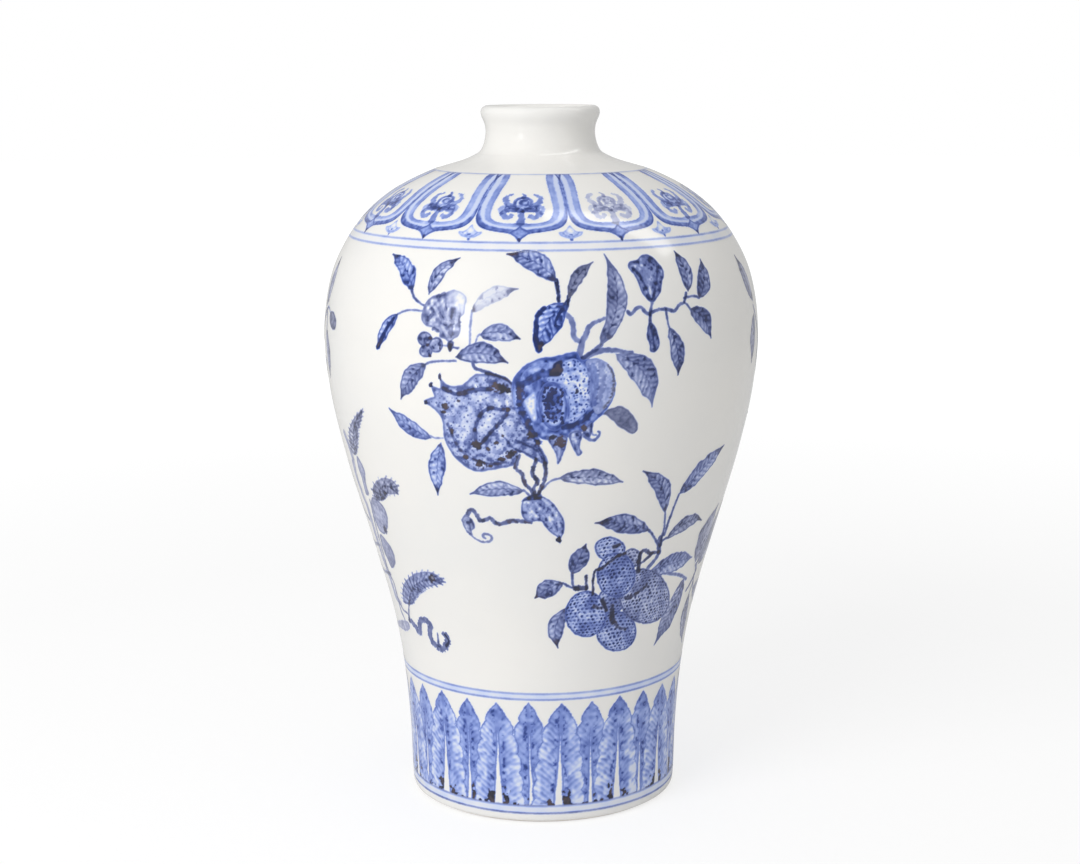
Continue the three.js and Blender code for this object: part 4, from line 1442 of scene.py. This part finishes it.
SEED_OVAL = oval((553.5, 405), 9.4, 17.5)
SEEDS_HIGH, SEEDS_LOW, SEEDS_ACROSS = 389, 422, (544.5, 561.5)
SMOOTH_LOBE = [(586, 362), (595, 359), (606, 362), (612, 371), (615, 383), (613, 396), (607, 406),
    (597, 414), (592, 404), (594, 389), (590, 373)]
LOBE_STREAKS = {
    "dark": ([(592, 370), (594, 385), (592, 403)], 5.4, 0.3, 0.8),
    "middle": ([(600, 364), (603, 379), (599, 398)], 3.4, 0.2, 0.6),
    "edge": ([(608, 365), (614, 380), (611, 396), (604, 408)], 0.9, 0.42, 0.0),
}
UNDER_BAND = [(564, 427.5), (571, 425.5), (579, 423), (587, 417.5), (594, 410)]
BLACK_PATCH = [(554, 363), (562, 361), (562, 374), (555, 376), (549, 375), (552, 369)]
RIGHT_FRUIT_SPOTS = {"under the split": ((553, 437), 3.6, 2.8, 0.2), "first sepal": ((560, 442), 5, 5.6,
    0.0), "third sepal": ((584, 428), 3, 3.2, 0.0), "dark dot": ((577, 391), 1.7, 2.6, 0.0)}
SEPALS = {
    "first": [(547, 437), (556, 436), (567, 437), (566, 446), (563, 455), (558, 464), (556, 455),
        (551, 446)],
    "second": [(569, 434), (577, 430), (582, 434), (580, 446), (582, 453), (578, 456), (573, 449),
        (570, 442)],
    "third": [(582, 430), (588, 425), (592, 423), (592, 431), (590, 437), (586, 436)],
}
SEPAL_FOLDS = {"first": [(556, 440), (559, 449), (558, 460)], "second": [(574, 434), (576, 443),
    (579, 452)]}
CURL = [(584, 434), (588, 438.5), (593, 440.2), (597.5, 437.5), (599.8, 433.4), (598.2, 431.4)]
CURL_INNER = [(592, 424), (591, 430), (593, 434.5), (596, 435)]


def left_pomegranate(patch):
    """The left fruit: its crown to the left, a lip, pale dotted places and a drawn loop."""
    patch.brush = 0.6
    window, depth = shape(patch, LEFT_FRUIT, 0.36, edge=0.64, edge_width=0.8, mottle=0.22)
    fine, grain, cloud = patch.noise(window)
    inner = ease(depth, 0.4, 1.0)
    patch.lay(window, 0.40 * ease(grain + 0.3 * fine, 0.64, 0.92) * inner)
    for points in LEFT_FRUIT_PALE.values():
        pale = patch.window(patch.to_wall(points), 3)
        inside = inside_of(pale, curve_through(pale.points, closes=True))
        lighten(patch, pale, 0.46 * ease(inside + (patch.noise(pale)[1] - 0.5) * 2.6, -1.2, 1.6))
    specks(patch, window, ease(depth, 1.2, 1.8), 2.3, 0.36, 0.55, loose=1.0)
    for points, thick, thin, tone in ((LIP_LINE, 1.9, 2.2, 0.76), (OVER_LIP_LINE, 1.3, 1.2, 0.84),
                                      (RIM_LINE, 1.5, 1.2, 0.55), (LOOP_LEFT, 1.8, 1.7, 0.72),
                                      (LOOP_RIGHT, 2.0, 1.4, 0.74)):
        line(patch, points, thick, tone, thin=thin, heap=0.4)
    for points in FLAP_LINES.values():
        line(patch, points, 1.1, 0.6, thin=0.8)
    for centre, wide, high, tilt in LEFT_FRUIT_SPOTS.values():
        spot(patch, centre, wide, high, tone=0.72, heap=0.95, tilt=tilt)
    for centre, wide, high in CROWN_TIPS.values():
        spot(patch, centre, wide, high, tone=0.9, heap=0.5)


def seeds(patch):
    """The seeds: near black dots on clear blue, in rows that drift at random."""
    shape(patch, SEED_OVAL, 0.66, edge=0.6, mottle=0.2)
    for row in np.linspace(SEEDS_HIGH, SEEDS_LOW, 9):
        for column in np.linspace(*SEEDS_ACROSS, 5):
            place = np.array([column, row]) + patch.draw.uniform(-1.5, 1.5, 2)
            size = patch.draw.uniform(1.0, 2.1)
            spot(patch, tuple(place), size, size * 1.1, tone=0.98, heap=0.2)


def right_pomegranate(patch):
    """The right fruit: clear blue, split open on its seeds, with a smooth greyish side lobe."""
    patch.brush = 1.0
    shape(patch, RIGHT_FRUIT, 0.58, edge=0.68, edge_width=0.8, mottle=0.34)
    shape(patch, TOP_BAND_LIGHT, 0.44, edge=0.50, mottle=0.26)
    shape(patch, LEFT_BAND_LIGHT, 0.36, edge=0.46, mottle=0.14)
    line(patch, TOP_BAND_EDGE, 3.0, 0.62, thin=3.6, heap=0.1)
    line(patch, LEFT_BAND_DARK, 3.4, 0.66, thin=2.8, heap=0.55, waver=1.2)
    window, depth = shape(patch, DOTTED, 0.24, edge=0.34, mottle=0.2)
    specks(patch, window, ease(depth, 0.0, 0.5), 2.4, 0.52, 0.76, loose=0.9)
    specks(patch, window, ease(depth, 0.2, 0.7), 3.3, 0.44, 0.6, slant=0.6, loose=1.0)
    shape(patch, WHITE_CRESCENT, 0.10, edge=0.30, mottle=0.2)
    shape(patch, SPLIT, 0.66, edge=0.72, mottle=0.25)
    shape(patch, SPLIT_RING, 0.22, edge=0.36, mottle=0.1)
    seeds(patch)
    line(patch, UNDER_BAND, 2.4, 0.78, thin=1.6, heap=0.1)
    patch.brush = 0.65
    shape(patch, SMOOTH_LOBE, 0.32, edge=0.42, mottle=0.1)
    for points, thick, tone, mix in LOBE_STREAKS.values():
        patch.brush = mix
        line(patch, points, thick, tone, thin=thick * 0.7, waver=1.6)
    patch.brush = 0.6
    for points in SEPALS.values():
        mottled(patch, points, wash=0.50, edge=0.74, mottle=0.25)
    for points in SEPAL_FOLDS.values():
        light_line(patch, points, 1.0, 0.4)
    line(patch, CURL, 1.9, 0.6, thin=0.9)
    line(patch, CURL_INNER, 1.2, 0.5, thin=0.9)
    for centre, wide, high, tilt in RIGHT_FRUIT_SPOTS.values():
        spot(patch, centre, wide, high, tone=0.74, heap=0.8, tilt=tilt)
    shape(patch, BLACK_PATCH, 0.97, edge=0.97, mottle=0.04, over=False, heap=0.6)


SPRAY_EXTENT = [(372, 250), (715, 250), (372, 548), (500, 548), (715, 380)]
front = spray_patch("painted_pomegranate_spray", SPRAY_EXTENT, seed=21)
paint_twigs(front, POMEGRANATE_TWIGS)
paint_leaves(front, POMEGRANATE_LEAVES)
front.brush = 0.1
shape(front, GREY_LEAF, 0.62, edge=0.70, mottle=0.08)
front.brush = 1.0
for points, thick, thin in BLACK_EDGES.values():
    line(front, points, thick, 0.95, thin=thin)
blossom(front)
front.brush = 0.55
mottled(front, ROUND_BUD, wash=0.60, edge=0.78, mottle=0.3)
mottled(front, LONG_BUD, wash=0.60, edge=0.86, mottle=0.24)
for points in BUD_FOLDS.values():
    line(front, points, 1.5, 0.6, thin=0.9)
left_pomegranate(front)
right_pomegranate(front)
front.brush = 0.3
for points in FRUIT_STEMS.values():
    line(front, points, 1.8, 0.72, thin=1.7, heap=0.6, waver=0.5)
line(front, END_TWIG, 2.1, 0.7, thin=2.0, heap=0.6, waver=0.5)
mottled(front, END_CLUSTER, wash=0.42, edge=0.62, mottle=0.3)
line(front, END_SPIRAL, 1.0, 0.5, thin=1.3)
front.brush = 0.6
mottled(front, TWO_LOBED_LEAF, wash=0.46, edge=0.74, mottle=0.25)
for points in TWO_LOBED_FOLDS.values():
    light_line(front, points, 1.1, 0.45)
spot(front, (559.2, 539.5), 2.4, 3.4, tone=0.85, heap=0.9)
shape(front, JUNCTION, 0.72, edge=0.74, over=False, heap=0.9)
front.piece()

# %% [markdown]
# ## The lychee spray
# Low on the right hangs a bunch of lychees. Their skin is a net of raised scales, painted as
# dots in staggered rows on a middle blue wash, with the light lines of the net between them.

# %% Paint the lychees
LYCHEE_LEAVES = {
    "tallest": ((679, 494), (724, 445), 9.4, 0.04, dict(wash=0.52, bright=0.5)),
    "knobbed": ((665, 513), (643, 471), 8.2, -0.14, dict(wash=0.55, burnt=0.9)),
    "small, right": ((666, 539), (702, 517), 7.4, 0.12, dict(wash=0.58, hook=-2, bright=0.2)),
    "long, left": ((649, 530), (595, 523), 8.6, -0.06, dict(wash=0.55, burnt=0.95)),
    "over the bunch": ((650, 571), (692, 557), 10.2, 0.03, dict(wash=0.48, burnt=0.6, bright=0.5)),
    "left, upper": ((572, 574), (586, 544), 7.6, 0, dict(wash=0.56, burnt=0.9)),
    "left, middle": ((563, 583), (535, 598), 7.8, -0.08, dict(wash=0.52, burnt=0.97)),
    "left, hooked": ((566, 608), (558, 648), 7.4, -0.14, dict(wash=0.55, burnt=0.97)),
    "right, hanging": ((684, 578), (654, 645), 12, 0.05, dict(wash=0.52, burnt=0.7, bright=0.3,
        drip=0.34)),
}
LYCHEE_TWIGS = {
    "tallest leaf": ([(679, 494), (675, 504), (669, 520), (664, 535)], 1.3, 1.6, 0.7),
    "knobbed leaf": ([(665, 513), (664, 528), (661, 540)], 1.2, 1.5, 0.68),
    "small right leaf": ([(666, 538), (662, 541), (660, 546)], 1.2, 1.6, 0.7),
    "trunk": ([(660, 538), (659, 546), (659, 553)], 2.8, 2.4, 0.66),
    "left leaf": ([(649, 530), (655, 539), (658, 545)], 1.3, 1.6, 0.75),
    "to the bunch": ([(659, 552), (656, 558), (648, 568)], 2, 2.4, 0.6),
    "small left leaf": ([(572, 574), (573, 585), (578, 588)], 1.3, 1.3, 0.7),
    "middle left leaf": ([(563, 583), (570, 587), (578, 588)], 1.0, 1.3, 0.68),
    "to the right": ([(662, 573), (675, 574), (682, 576), (686, 579)], 1.6, 1.6, 0.55),
}
BUNCH_TWIGS = {
    "curl, outer": ([(638, 562), (640, 554), (645, 550), (650, 553), (658, 552)], 2, 1.6, 0.78),
    "curl, inner": ([(652, 554), (646, 559), (641, 563)], 1.8, 1.5, 0.72),
    "curl, down": ([(640, 554), (639, 562), (638, 571)], 2.2, 2.6, 0.86),
    "from the top": ([(625, 553), (616, 557), (608, 563), (602, 568), (595, 571), (593, 582), (593, 594)],
        1.6, 1.0, 0.88),
    "second": ([(586, 576), (586, 582), (587, 587)], 1.4, 1.3, 0.8),
    "knot": ([(576, 588), (580, 588), (585, 588)], 2.8, 2.8, 0.92),
    "between the fruits": ([(612, 606), (612, 614), (613, 622)], 2.2, 2.6, 0.86),
    "left of it": ([(602, 600), (604, 604), (606, 610)], 2.2, 1.8, 0.8),
    "left of it, cross": ([(594, 606), (599, 608), (604, 607)], 1.7, 1.7, 0.72),
    "middle, low": ([(627, 598), (632, 596), (638, 592), (646, 586)], 2.6, 1.6, 0.7),
    "bottom, high": ([(614, 622), (618, 627), (625, 629)], 2, 1.2, 0.7),
    "top, right": ([(614, 547), (619, 545)], 1.8, 1.6, 0.7),
}
LYCHEES = {
    "top": ((610, 549), 15.6, 12.6, 0.1, 0.7),
    "small": ((632, 558), 9.5, 10, 0.4, 0.3),
    "behind": ((611, 601), 14, 13, 0.0, 0.6),
    "bottom": ((616, 631), 20.4, 20.5, 0.0, 0.7),
    "right": ((644, 596), 25.5, 28, -0.3, 0.4),
    "left": ((586, 614), 21, 23.4, 0.1, 0.8),
    "middle": ((616, 575), 19.5, 22.5, 0.1, 0.75),
}
EDGE_TURN, EDGE_HEIGHT = math.radians(72), 125
EDGE_LEAVES = {
    "middle": ((-9, -8), (13, 21), 13, -0.06, dict(wash=0.42, burnt=0.6, edge=0.56, veins=0.14,
        midrib=0.1, bright=0.0)),
    "right": ((-6, -9), (26, 6), 12, 0.08, dict(wash=0.42, burnt=0.7, bright=0.1)),
    "left": ((-12, -7), (-2, 21), 14, 0.12, dict(wash=0.4, burnt=0.6, edge=0.54, veins=0.14, midrib=0.1,
        bright=0.0)),
    "low, right": ((-3, -22), (20, -36), 9, 0.1, dict(wash=0.42, burnt=0.8, bright=0.1)),
    "low": ((-7, -24), (2, -52), 8, -0.06, dict(wash=0.4, burnt=0.7, veins=0.2, bright=0.0)),
}
EDGE_TWIGS = {"stem": ([(-10, -8), (-7, -13), (-10, -18), (-13, -21)], 2.2, 1.6, 0.55),
    "low": ([(-8, -14), (-6, -19), (-7, -24)], 1.4, 1.1, 0.5), "low, right": ([(-6, -18), (-3, -22)], 1.2,
    1.0, 0.5)}
SCALE_GAP = 2.35
PIXELS_TO_A_MILLIMETRE = 2.06


def lychee(patch, centre, wide, high, tilt, bright):
    """A round fruit with netted skin, its rows of dots curved like its outline."""
    patch.brush = bright
    window, depth = shape(patch, oval(centre, wide, high, tilt), 0.44, edge=0.78, edge_width=0.6, mottle=0.16)
    fine, grain, cloud = patch.noise(window)
    across = (window.x - window.points[:, 0].mean()) / (wide / PIXELS_TO_A_MILLIMETRE)
    up = (window.y - window.points[:, 1].mean()) / (high / PIXELS_TO_A_MILLIMETRE)
    bulged = 1 + 0.22 * np.clip(across**2 + up**2, 0, 1.3)
    chart = window._replace(x=window.x * bulged + 0.8 * (grain - 0.5),
                            y=window.y * bulged + 0.9 * across**2 + 0.8 * (fine - 0.5))
    row = chart.y / (SCALE_GAP * 0.87)
    column = chart.x / SCALE_GAP + 0.5 * (np.floor(row) % 2)
    light = np.maximum(np.exp(-((row % 1) / 0.17) ** 2), np.exp(-((row % 1 - 1) / 0.17) ** 2))
    light = np.maximum(light, np.exp(-((column % 1) / 0.14) ** 2))
    lighten(patch, window, 0.46 * light * ease(depth, 0.4, 1.2))
    specks(patch, chart, ease(depth, 0.2, 0.8), SCALE_GAP, 0.64, 0.88, loose=0.25)
    shade = ease(cloud, 0.35, 0.8) * ease(depth, 0.2, 1.0)
    patch.lay(window, 0.30 * shade)


EDGE_REACH = [(math.radians(62), climb_at(68)), (math.radians(94), climb_at(150))]
low_right = spray_patch("painted_lychee_spray", [(530, 440), (726, 440), (530, 656), (690, 656)], seed=22,
                        also=EDGE_REACH)
paint_twigs(low_right, LYCHEE_TWIGS)
paint_leaves(low_right, LYCHEE_LEAVES)
for centre, wide, high, tilt, bright in LYCHEES.values():
    lychee(low_right, centre, wide, high, tilt, bright)
low_right.brush = 0.2
for points, thick, thin, tone in BUNCH_TWIGS.values():
    line(low_right, points, thick, tone, thin=thin, heap=0.3, waver=0.4)
low_right.to_wall = around(EDGE_TURN, climb_at(EDGE_HEIGHT))
low_right.brush = 0.0
paint_twigs(low_right, EDGE_TWIGS)
paint_leaves(low_right, EDGE_LEAVES)
low_right.piece()

# %% [markdown]
# ## The spray with comb leaves
# Low on the left stands a twig with toothed leaves and long pods. Half of it lies round the
# side, where the photograph shows it from almost edge on. What grows past that edge, three more
# toothed leaves and some berries, is a guess.

# %% Paint the comb leaves
COMB_LEAVES = {
    "upper": ([(355, 454), (353, 438), (355, 424), (363, 409)], (5, 6), 12, 0.05),
    "fan": ([(382, 500), (380, 491), (384, 486), (391, 488), (398, 494)], (10, 10), 10, 0.05),
    "lower": ([(409, 604), (411, 592), (417, 584), (428, 580), (445, 582)], (12, 10), 14, 0.35),
}
PODS = {
    "upper": dict(points=[(372, 497), (380, 502), (386, 511), (388, 522), (387, 530), (385, 534),
        (380, 531), (376, 522), (372, 510)], wash=0.36, edge=0.64),
    "lower": dict(points=[(380, 534), (386, 540), (392, 549), (395, 558), (395, 565), (392, 568),
        (388, 560), (383, 548)], wash=0.44, edge=0.62),
    "narrow": dict(points=[(357, 456), (362, 464), (365, 472), (366, 483), (369, 494), (366, 494),
        (362, 478), (358, 466)], wash=0.4, edge=0.56),
    "block": dict(points=[(396, 622), (402, 620), (408, 622), (410, 628), (407, 631), (401, 628)],
        wash=0.34, edge=0.42),
}
COMB_TWIGS = {
    "trunk, left": ([(345, 434), (352, 455), (356, 474), (361, 489), (368, 508), (373, 525), (379, 545),
        (386, 566), (392, 583), (396, 596), (400, 602)], 4.4, 3.6, 0.36),
    "trunk, right": ([(370, 500), (377, 530), (387, 566), (394, 583), (398, 598), (403, 609), (408, 614),
        (410, 622)], 1.3, 1.2, 0.52),
    "left strand": ([(399, 602), (401, 610), (404, 617), (406, 623)], 1.4, 1.2, 0.46),
    "lower leaf": ([(409, 603), (409, 612), (410, 621)], 1.2, 1.3, 0.56),
}
RIBBON = [(410, 620), (414, 624), (420, 633), (420, 623), (425, 620), (430, 625), (430, 633), (432, 641),
    (437, 646), (441, 649), (446, 646), (448, 640), (445, 635)]
RIBBON_HOOK = [(446.5, 646), (448.8, 641), (445, 634.8)]
RIBBON_SPIKE = [(437.4, 633), (438.2, 640), (439, 646)]
RING_SPOT, RING_SPOT_CORE = ((432.3, 578.3), 4.4, 4.2), ((432.5, 577.8), 1.9, 1.6)
POD_END = ((385.4, 530), 3.4, 4.4)


def point_along(curve, share):
    """The point that lies a share of the way along a curve's points."""
    place = share * (len(curve) - 1)
    return np.array([np.interp(place, np.arange(len(curve)), side) for side in curve.T])


def comb_leaf(patch, spine, sides, teeth, bright):
    """A leaf cut into narrow teeth: a wash over most of it, and a stroke to each tooth.

    Each side stands off the spine by its own width times the square root of the sine of pi
    times the share of the way along. The strokes run from the spine to points on the sides.
    """
    patch.brush = bright
    curve = curve_through(spine)
    along = np.gradient(curve, axis=0)
    across = np.stack([along[:, 1], -along[:, 0]], -1) / np.hypot(*along.T)[:, None]
    off = np.sqrt(np.sin(math.pi * np.linspace(0.04, 1, len(curve))))[:, None] * across
    edges = [curve + sides[0] * off, curve - sides[1] * off]
    shape(patch, np.vstack([edges[0][::4], edges[1][::-4]]) * 0.84 + np.vstack([curve[::4], curve[::-4]]) * 0.16,
          0.46, edge=0.50, mottle=0.24)
    for edge in edges:
        for share in (np.arange(teeth) + 0.6) / teeth:
            root, end = point_along(curve, max(share - 0.12, 0)), point_along(edge, share)
            line(patch, [root, (root + end) / 2, end], 1.2, patch.draw.uniform(0.25, 0.55), thin=0.9, waver=0.5)
    line(patch, spine, 0.9, 0.4, thin=1.1)


def berry(patch, centre, radius, bright=0.5):
    """A small round fruit with a light patch above its middle."""
    patch.brush = bright
    window, _ = shape(patch, oval(centre, radius, radius), 0.52, edge=0.74, edge_width=0.7, mottle=0.2)
    x, y = window.x + radius * 0.25, window.y - radius * 0.25
    lighten(patch, window, 0.7 * ease(0.42 - np.hypot(x, y) / radius, -0.2, 0.3))


SIDE_TURN, SIDE_HEIGHT = math.radians(-95), 130
SIDE_COMBS = {
    "high": ([(20, 20), (13, 31), (2, 38), (-10, 41)], (8, 8), 16, 0.25),
    "left": ([(2, 2), (-12, 6), (-24, 4), (-34, -4)], (9, 9), 16, 0.25),
    "low": ([(4, -26), (-8, -31), (-17, -40), (-22, -52)], (9, 9), 16, 0.25),
}
SIDE_TWIGS = {
    "high": ([(36, 8), (28, 12), (20, 20)], 1.6, 1.2, 0.6),
    "middle": ([(38, -4), (22, -6), (10, -4), (2, 2)], 1.8, 1.2, 0.6),
    "low": ([(40, -18), (24, -20), (12, -20), (4, -26)], 1.8, 1.2, 0.6),
    "berries": ([(22, -6), (16, -10), (12, -12)], 1.2, 1.0, 0.6),
}
SIDE_BERRIES = [(8, -12), (0, -8), (-1, -16), (14, -16), (5, -20), (-8, -12)]
SIDE_REACH = [(math.radians(-124), climb_at(72)), (math.radians(-95), climb_at(180))]


low_left = spray_patch("painted_comb_leaf_spray", [(345, 405), (450, 575), (452, 652), (395, 490)], seed=23,
                       margin=7, also=SIDE_REACH)
low_left.brush = 0.05
paint_twigs(low_left, COMB_TWIGS)
for given in PODS.values():
    shape(low_left, **given, mottle=0.1, edge_width=0.6)
spot(low_left, *POD_END, tone=0.6, heap=0.3)
for given in COMB_LEAVES.values():
    comb_leaf(low_left, *given)
low_left.brush = 0.3
line(low_left, RIBBON, 3.0, 0.62, thin=3.4, waver=1.0)
line(low_left, RIBBON_SPIKE, 0.9, 0.7, thin=1.8)
line(low_left, RIBBON_HOOK, 1.4, 0.92, thin=1.1)
spot(low_left, *RING_SPOT, tone=0.92, heap=0.7)
window = low_left.window(low_left.to_wall([RING_SPOT_CORE[0]]), 2)
lighten(low_left, window, 0.8 * ease(0.9 - np.hypot(window.x, window.y), -0.3, 0.4))
low_left.to_wall = around(SIDE_TURN, climb_at(SIDE_HEIGHT))
low_left.brush = 0.2
paint_twigs(low_left, SIDE_TWIGS)
for given in SIDE_COMBS.values():
    comb_leaf(low_left, *given)
for place in SIDE_BERRIES:
    berry(low_left, place, 4.4, bright=0.4)
low_left.piece()

# %% [markdown]
# ## The sprays that the photograph doesn't show
# Vases of this kind carry six fruit sprays, three high and three low, a third of a turn apart.
# The photograph shows three of them and the outer leaves of two more. The rest is a guess:
# peaches, loquats and cherries, which such vases have too. These sprays grow by a rule. Each
# twig is a short list of places in millimetres on a chart round the middle of its spray, and
# leaves spring from it by turns to the left and to the right. Only the outer leaves that the
# photograph shows are given one by one.

# %% A twig with leaves
def leafy_twig(patch, points, thick, leaves, first=0.3, long=24.0, slim=0.34, sides=(1, -1)):
    """A twig that thins towards its end, with leaves by turns on its sides and one at its end.

    Each leaf springs from a share of the way along the twig, at an angle to it, and bows back
    towards the twig's own direction. slim is its width as a share of its length.
    """
    patch.brush = 0.3
    line(patch, points, thick, 0.68, thin=0.4 * thick + 0.5)
    curve = curve_through(points)
    for number, share in enumerate(np.linspace(first, 1, leaves)):
        base = point_along(curve, share)
        along = base - point_along(curve, share - 0.1)
        side = sides[number % len(sides)] if number < leaves - 1 else 0
        way = math.atan2(along[1], along[0]) + side * patch.draw.uniform(0.6, 1.0)
        size = long * patch.draw.uniform(0.85, 1.1)
        tip = base + size * np.array([math.cos(way), math.sin(way)])
        leaf(patch, base, tip, size * slim, bend=0.1 * (side or 1), wash=patch.draw.uniform(0.40, 0.54),
             burnt=patch.draw.uniform(0.8, 1.0), bright=patch.draw.uniform(0.2, 0.75))


def back_spray(name, turn, climb, reach, seed):
    """An empty patch for a spray round one turn and climb, reaching so far to each side."""
    corners = [(x, y) for x in (-reach[0], reach[0]) for y in (-reach[1], reach[1])]
    return spray_patch(name, corners, seed, to_wall=around(turn, climb))


PEACH_TURN, LOQUAT_TURN, CHERRY_TURN = math.radians(-120), math.radians(120), math.radians(162)
HIGH_SPRAY, LOW_SPRAY = climb_at(205), climb_at(126)

# %% Peaches, high on the left
PEACH_TWIGS = {
    "trunk": ([(10, -52), (12, -44), (7, -34), (2, -24), (4, -16)], 3.4, 0),
    "end": ([(10, -52), (17, -51), (21, -45)], 2.2, 0),
    "front peach": ([(3, -20), (-4, -13), (-12, -4)], 2.2, 0),
    "back peach": ([(5, -17), (13, -9), (19, 0)], 2, 0),
    "low": ([(9, -38), (-6, -38), (-20, -46)], 1.8, 3),
    "left": ([(4, -20), (-16, -18), (-38, -12), (-57, 0), (-70, 16)], 2.6, 7),
    "right": ([(4, -16), (24, -15), (42, -2), (56, 14), (66, 24), (77, 33)], 2.6, 0),
    "right, leaves": ([(24, -15), (42, -2), (52, 8)], 1.2, 5),
    "to the bud": ([(76, 32), (81, 34), (87, 31)], 1.4, 0),
    "to the low leaf": ([(76, 32), (79, 30), (80, 24)], 1.4, 0),
    "top": ([(4, -16), (1, 6), (7, 22), (3, 34)], 2.4, 0),
    "top, leaves": ([(6, 20), (6, 28), (3, 34)], 1.2, 4),
}
PEACH_EDGE_LEAVES = {
    "high": ((74, 34), (74, 58), 7.4, -0.08, dict(wash=0.4, veins=0.2, bright=0.0)),
    "low": ((80, 24), (80, 1), 7.6, 0.1, dict(wash=0.42, veins=0.2, bright=0.0)),
}
PEACHES = {"back": ((25, 13), 15.5, 14.0, 0.35), "front": ((-18, 12), 18.0, 16.5, -0.3)}
PEACH_BUD = ((91, 29), 6.4, 3.8, -0.35)


def peach(patch, centre, wide, high, tilt):
    """A peach: an oval drawn out to a point, with a groove to the point and a dotted blush."""
    patch.brush = 0.7
    window, depth = shape(patch, oval(centre, wide, high, tilt, point=0.16), 0.26, edge=0.62, edge_width=0.9,
                          mottle=0.14)
    groove = np.array([(0.1, -0.86), (0.42, -0.1), (0.2, 0.6), (0, 1.12)]) * (wide, high)
    line(patch, tilted(centre, groove, tilt), 1.2, 0.6, thin=2.0)
    tip = tilted((0, 0), (0, high), tilt)
    blush = ease(1.35 - np.hypot(window.x - tip[0], window.y - tip[1]) / high, 0, 1.0)
    patch.lay(window, 0.42 * blush * ease(depth, 0.2, 1.0) * (0.6 + 0.8 * patch.noise(window)[1]))
    specks(patch, window, ease(depth, 0.4, 1.0), 2.6, 0.55, 0.55, loose=0.9)


high_left = back_spray("painted_peach_spray", PEACH_TURN, HIGH_SPRAY, (104, 70), seed=24)
for points, thick, leaves in PEACH_TWIGS.values():
    leafy_twig(high_left, points, thick, leaves)
paint_leaves(high_left, PEACH_EDGE_LEAVES)
for given in PEACHES.values():
    peach(high_left, *given)
high_left.brush = 0.0
shape(high_left, oval(*PEACH_BUD), 0.6, edge=0.8, mottle=0.2)
high_left.piece()

# %% Loquats, high on the right
LOQUAT_TWIGS = {
    "trunk": ([(-6, -54), (-10, -46), (-4, -36), (-8, -26), (-2, -16), (2, -8)], 3.4, 0),
    "end": ([(-6, -54), (0, -51), (6, -53), (12, -48)], 2, 0),
    "low": ([(-8, -42), (-22, -42), (-34, -48)], 1.8, 3),
    "left": ([(-8, -28), (-26, -24), (-42, -14), (-56, 0)], 2.4, 5),
    "left, on": ([(-42, -14), (-58, 4), (-72, 20), (-81, 34)], 1.8, 0),
    "right": ([(-2, -16), (20, -26), (42, -20), (60, -6), (72, 10)], 2.4, 6),
    "top": ([(4, 14), (3, 26), (5, 32)], 2.2, 3),
    "left fruits": ([(1, -10), (-4, -4), (-9, 2)], 1.8, 0),
    "right fruits": ([(2, -10), (9, -10), (15, -6)], 1.8, 0),
}
LOQUAT_EDGE_LEAVES = {
    "high": ((-80, 36), (-84, 59), 8.4, 0.06, dict(wash=0.42, veins=0.2, bright=0.0)),
    "low": ((-82, 30), (-87, 8), 8.2, -0.1, dict(wash=0.42, veins=0.2, bright=0.0)),
}
LOQUATS = [(-14, 17), (1, 19), (16, 17), (-8, 3), (8, 4), (23, 5), (15, -9)]
LOQUAT_RADIUS = 8.8


def loquat(patch, centre, radius):
    """A loquat: a round fruit with a dark starry eye at its lower end, streaked lengthwise."""
    patch.brush = 0.85
    window, depth = shape(patch, oval(centre, 0.94 * radius, 1.08 * radius), 0.24, edge=0.60, edge_width=0.8,
                          mottle=0.12)
    streaks = 0.5 + 0.5 * np.cos(9 * np.arctan2(window.x, window.y + 0.7 * radius))
    patch.lay(window, 0.34 * streaks * ease(depth, 0.3, 1.2) * (0.4 + patch.noise(window)[1]))
    eye = np.array(centre) - (0, 0.66 * radius)
    for ray in oval((0, 0), 2.4, 2.4, points=5):
        line(patch, [eye, eye + ray / 2, eye + ray], 1.6, 0.8, thin=0.6, heap=0.4)


high_right = back_spray("painted_loquat_spray", LOQUAT_TURN, HIGH_SPRAY, (104, 70), seed=25)
for points, thick, leaves in LOQUAT_TWIGS.values():
    leafy_twig(high_right, points, thick, leaves, slim=0.42)
paint_leaves(high_right, LOQUAT_EDGE_LEAVES)
for centre in LOQUATS:
    loquat(high_right, centre, LOQUAT_RADIUS)
high_right.piece()

# %% Cherries, low at the back
CHERRY_TWIGS = {
    "trunk": ([(44, 40), (30, 32), (18, 34), (2, 24), (-12, 22), (-30, 8), (-44, -2)], 3, 7),
    "up": ([(2, 24), (-5, 31), (-10, 37)], 1.6, 2),
    "right": ([(30, 32), (42, 20), (48, 10)], 1.6, 4),
    "end": ([(44, 40), (50, 38), (54, 44)], 2, 0),
}
CHERRY_STEMS = {(26, -4): (18, 33), (14, -14): (17, 33), (4, -6): (4, 25), (-6, -18): (3, 24),
    (-18, -8): (-12, 22), (-28, -20): (-14, 21), (34, 6): (30, 31), (-8, 0): (2, 24)}
CHERRY_RADIUS = 5.6

low_back = back_spray("painted_cherry_spray", CHERRY_TURN, LOW_SPRAY, (72, 58), seed=26)
for points, thick, leaves in CHERRY_TWIGS.values():
    leafy_twig(low_back, points, thick, leaves, first=0.35, long=19.0, slim=0.38, sides=(-1,))
for cherry, root in CHERRY_STEMS.items():
    sag = (np.array(cherry) + root) / 2 + (2.0, 1.5)
    line(low_back, [root, sag, cherry], 1.0, 0.62, thin=0.9)
for cherry in CHERRY_STEMS:
    berry(low_back, cherry, CHERRY_RADIUS, bright=0.6)
low_back.piece()
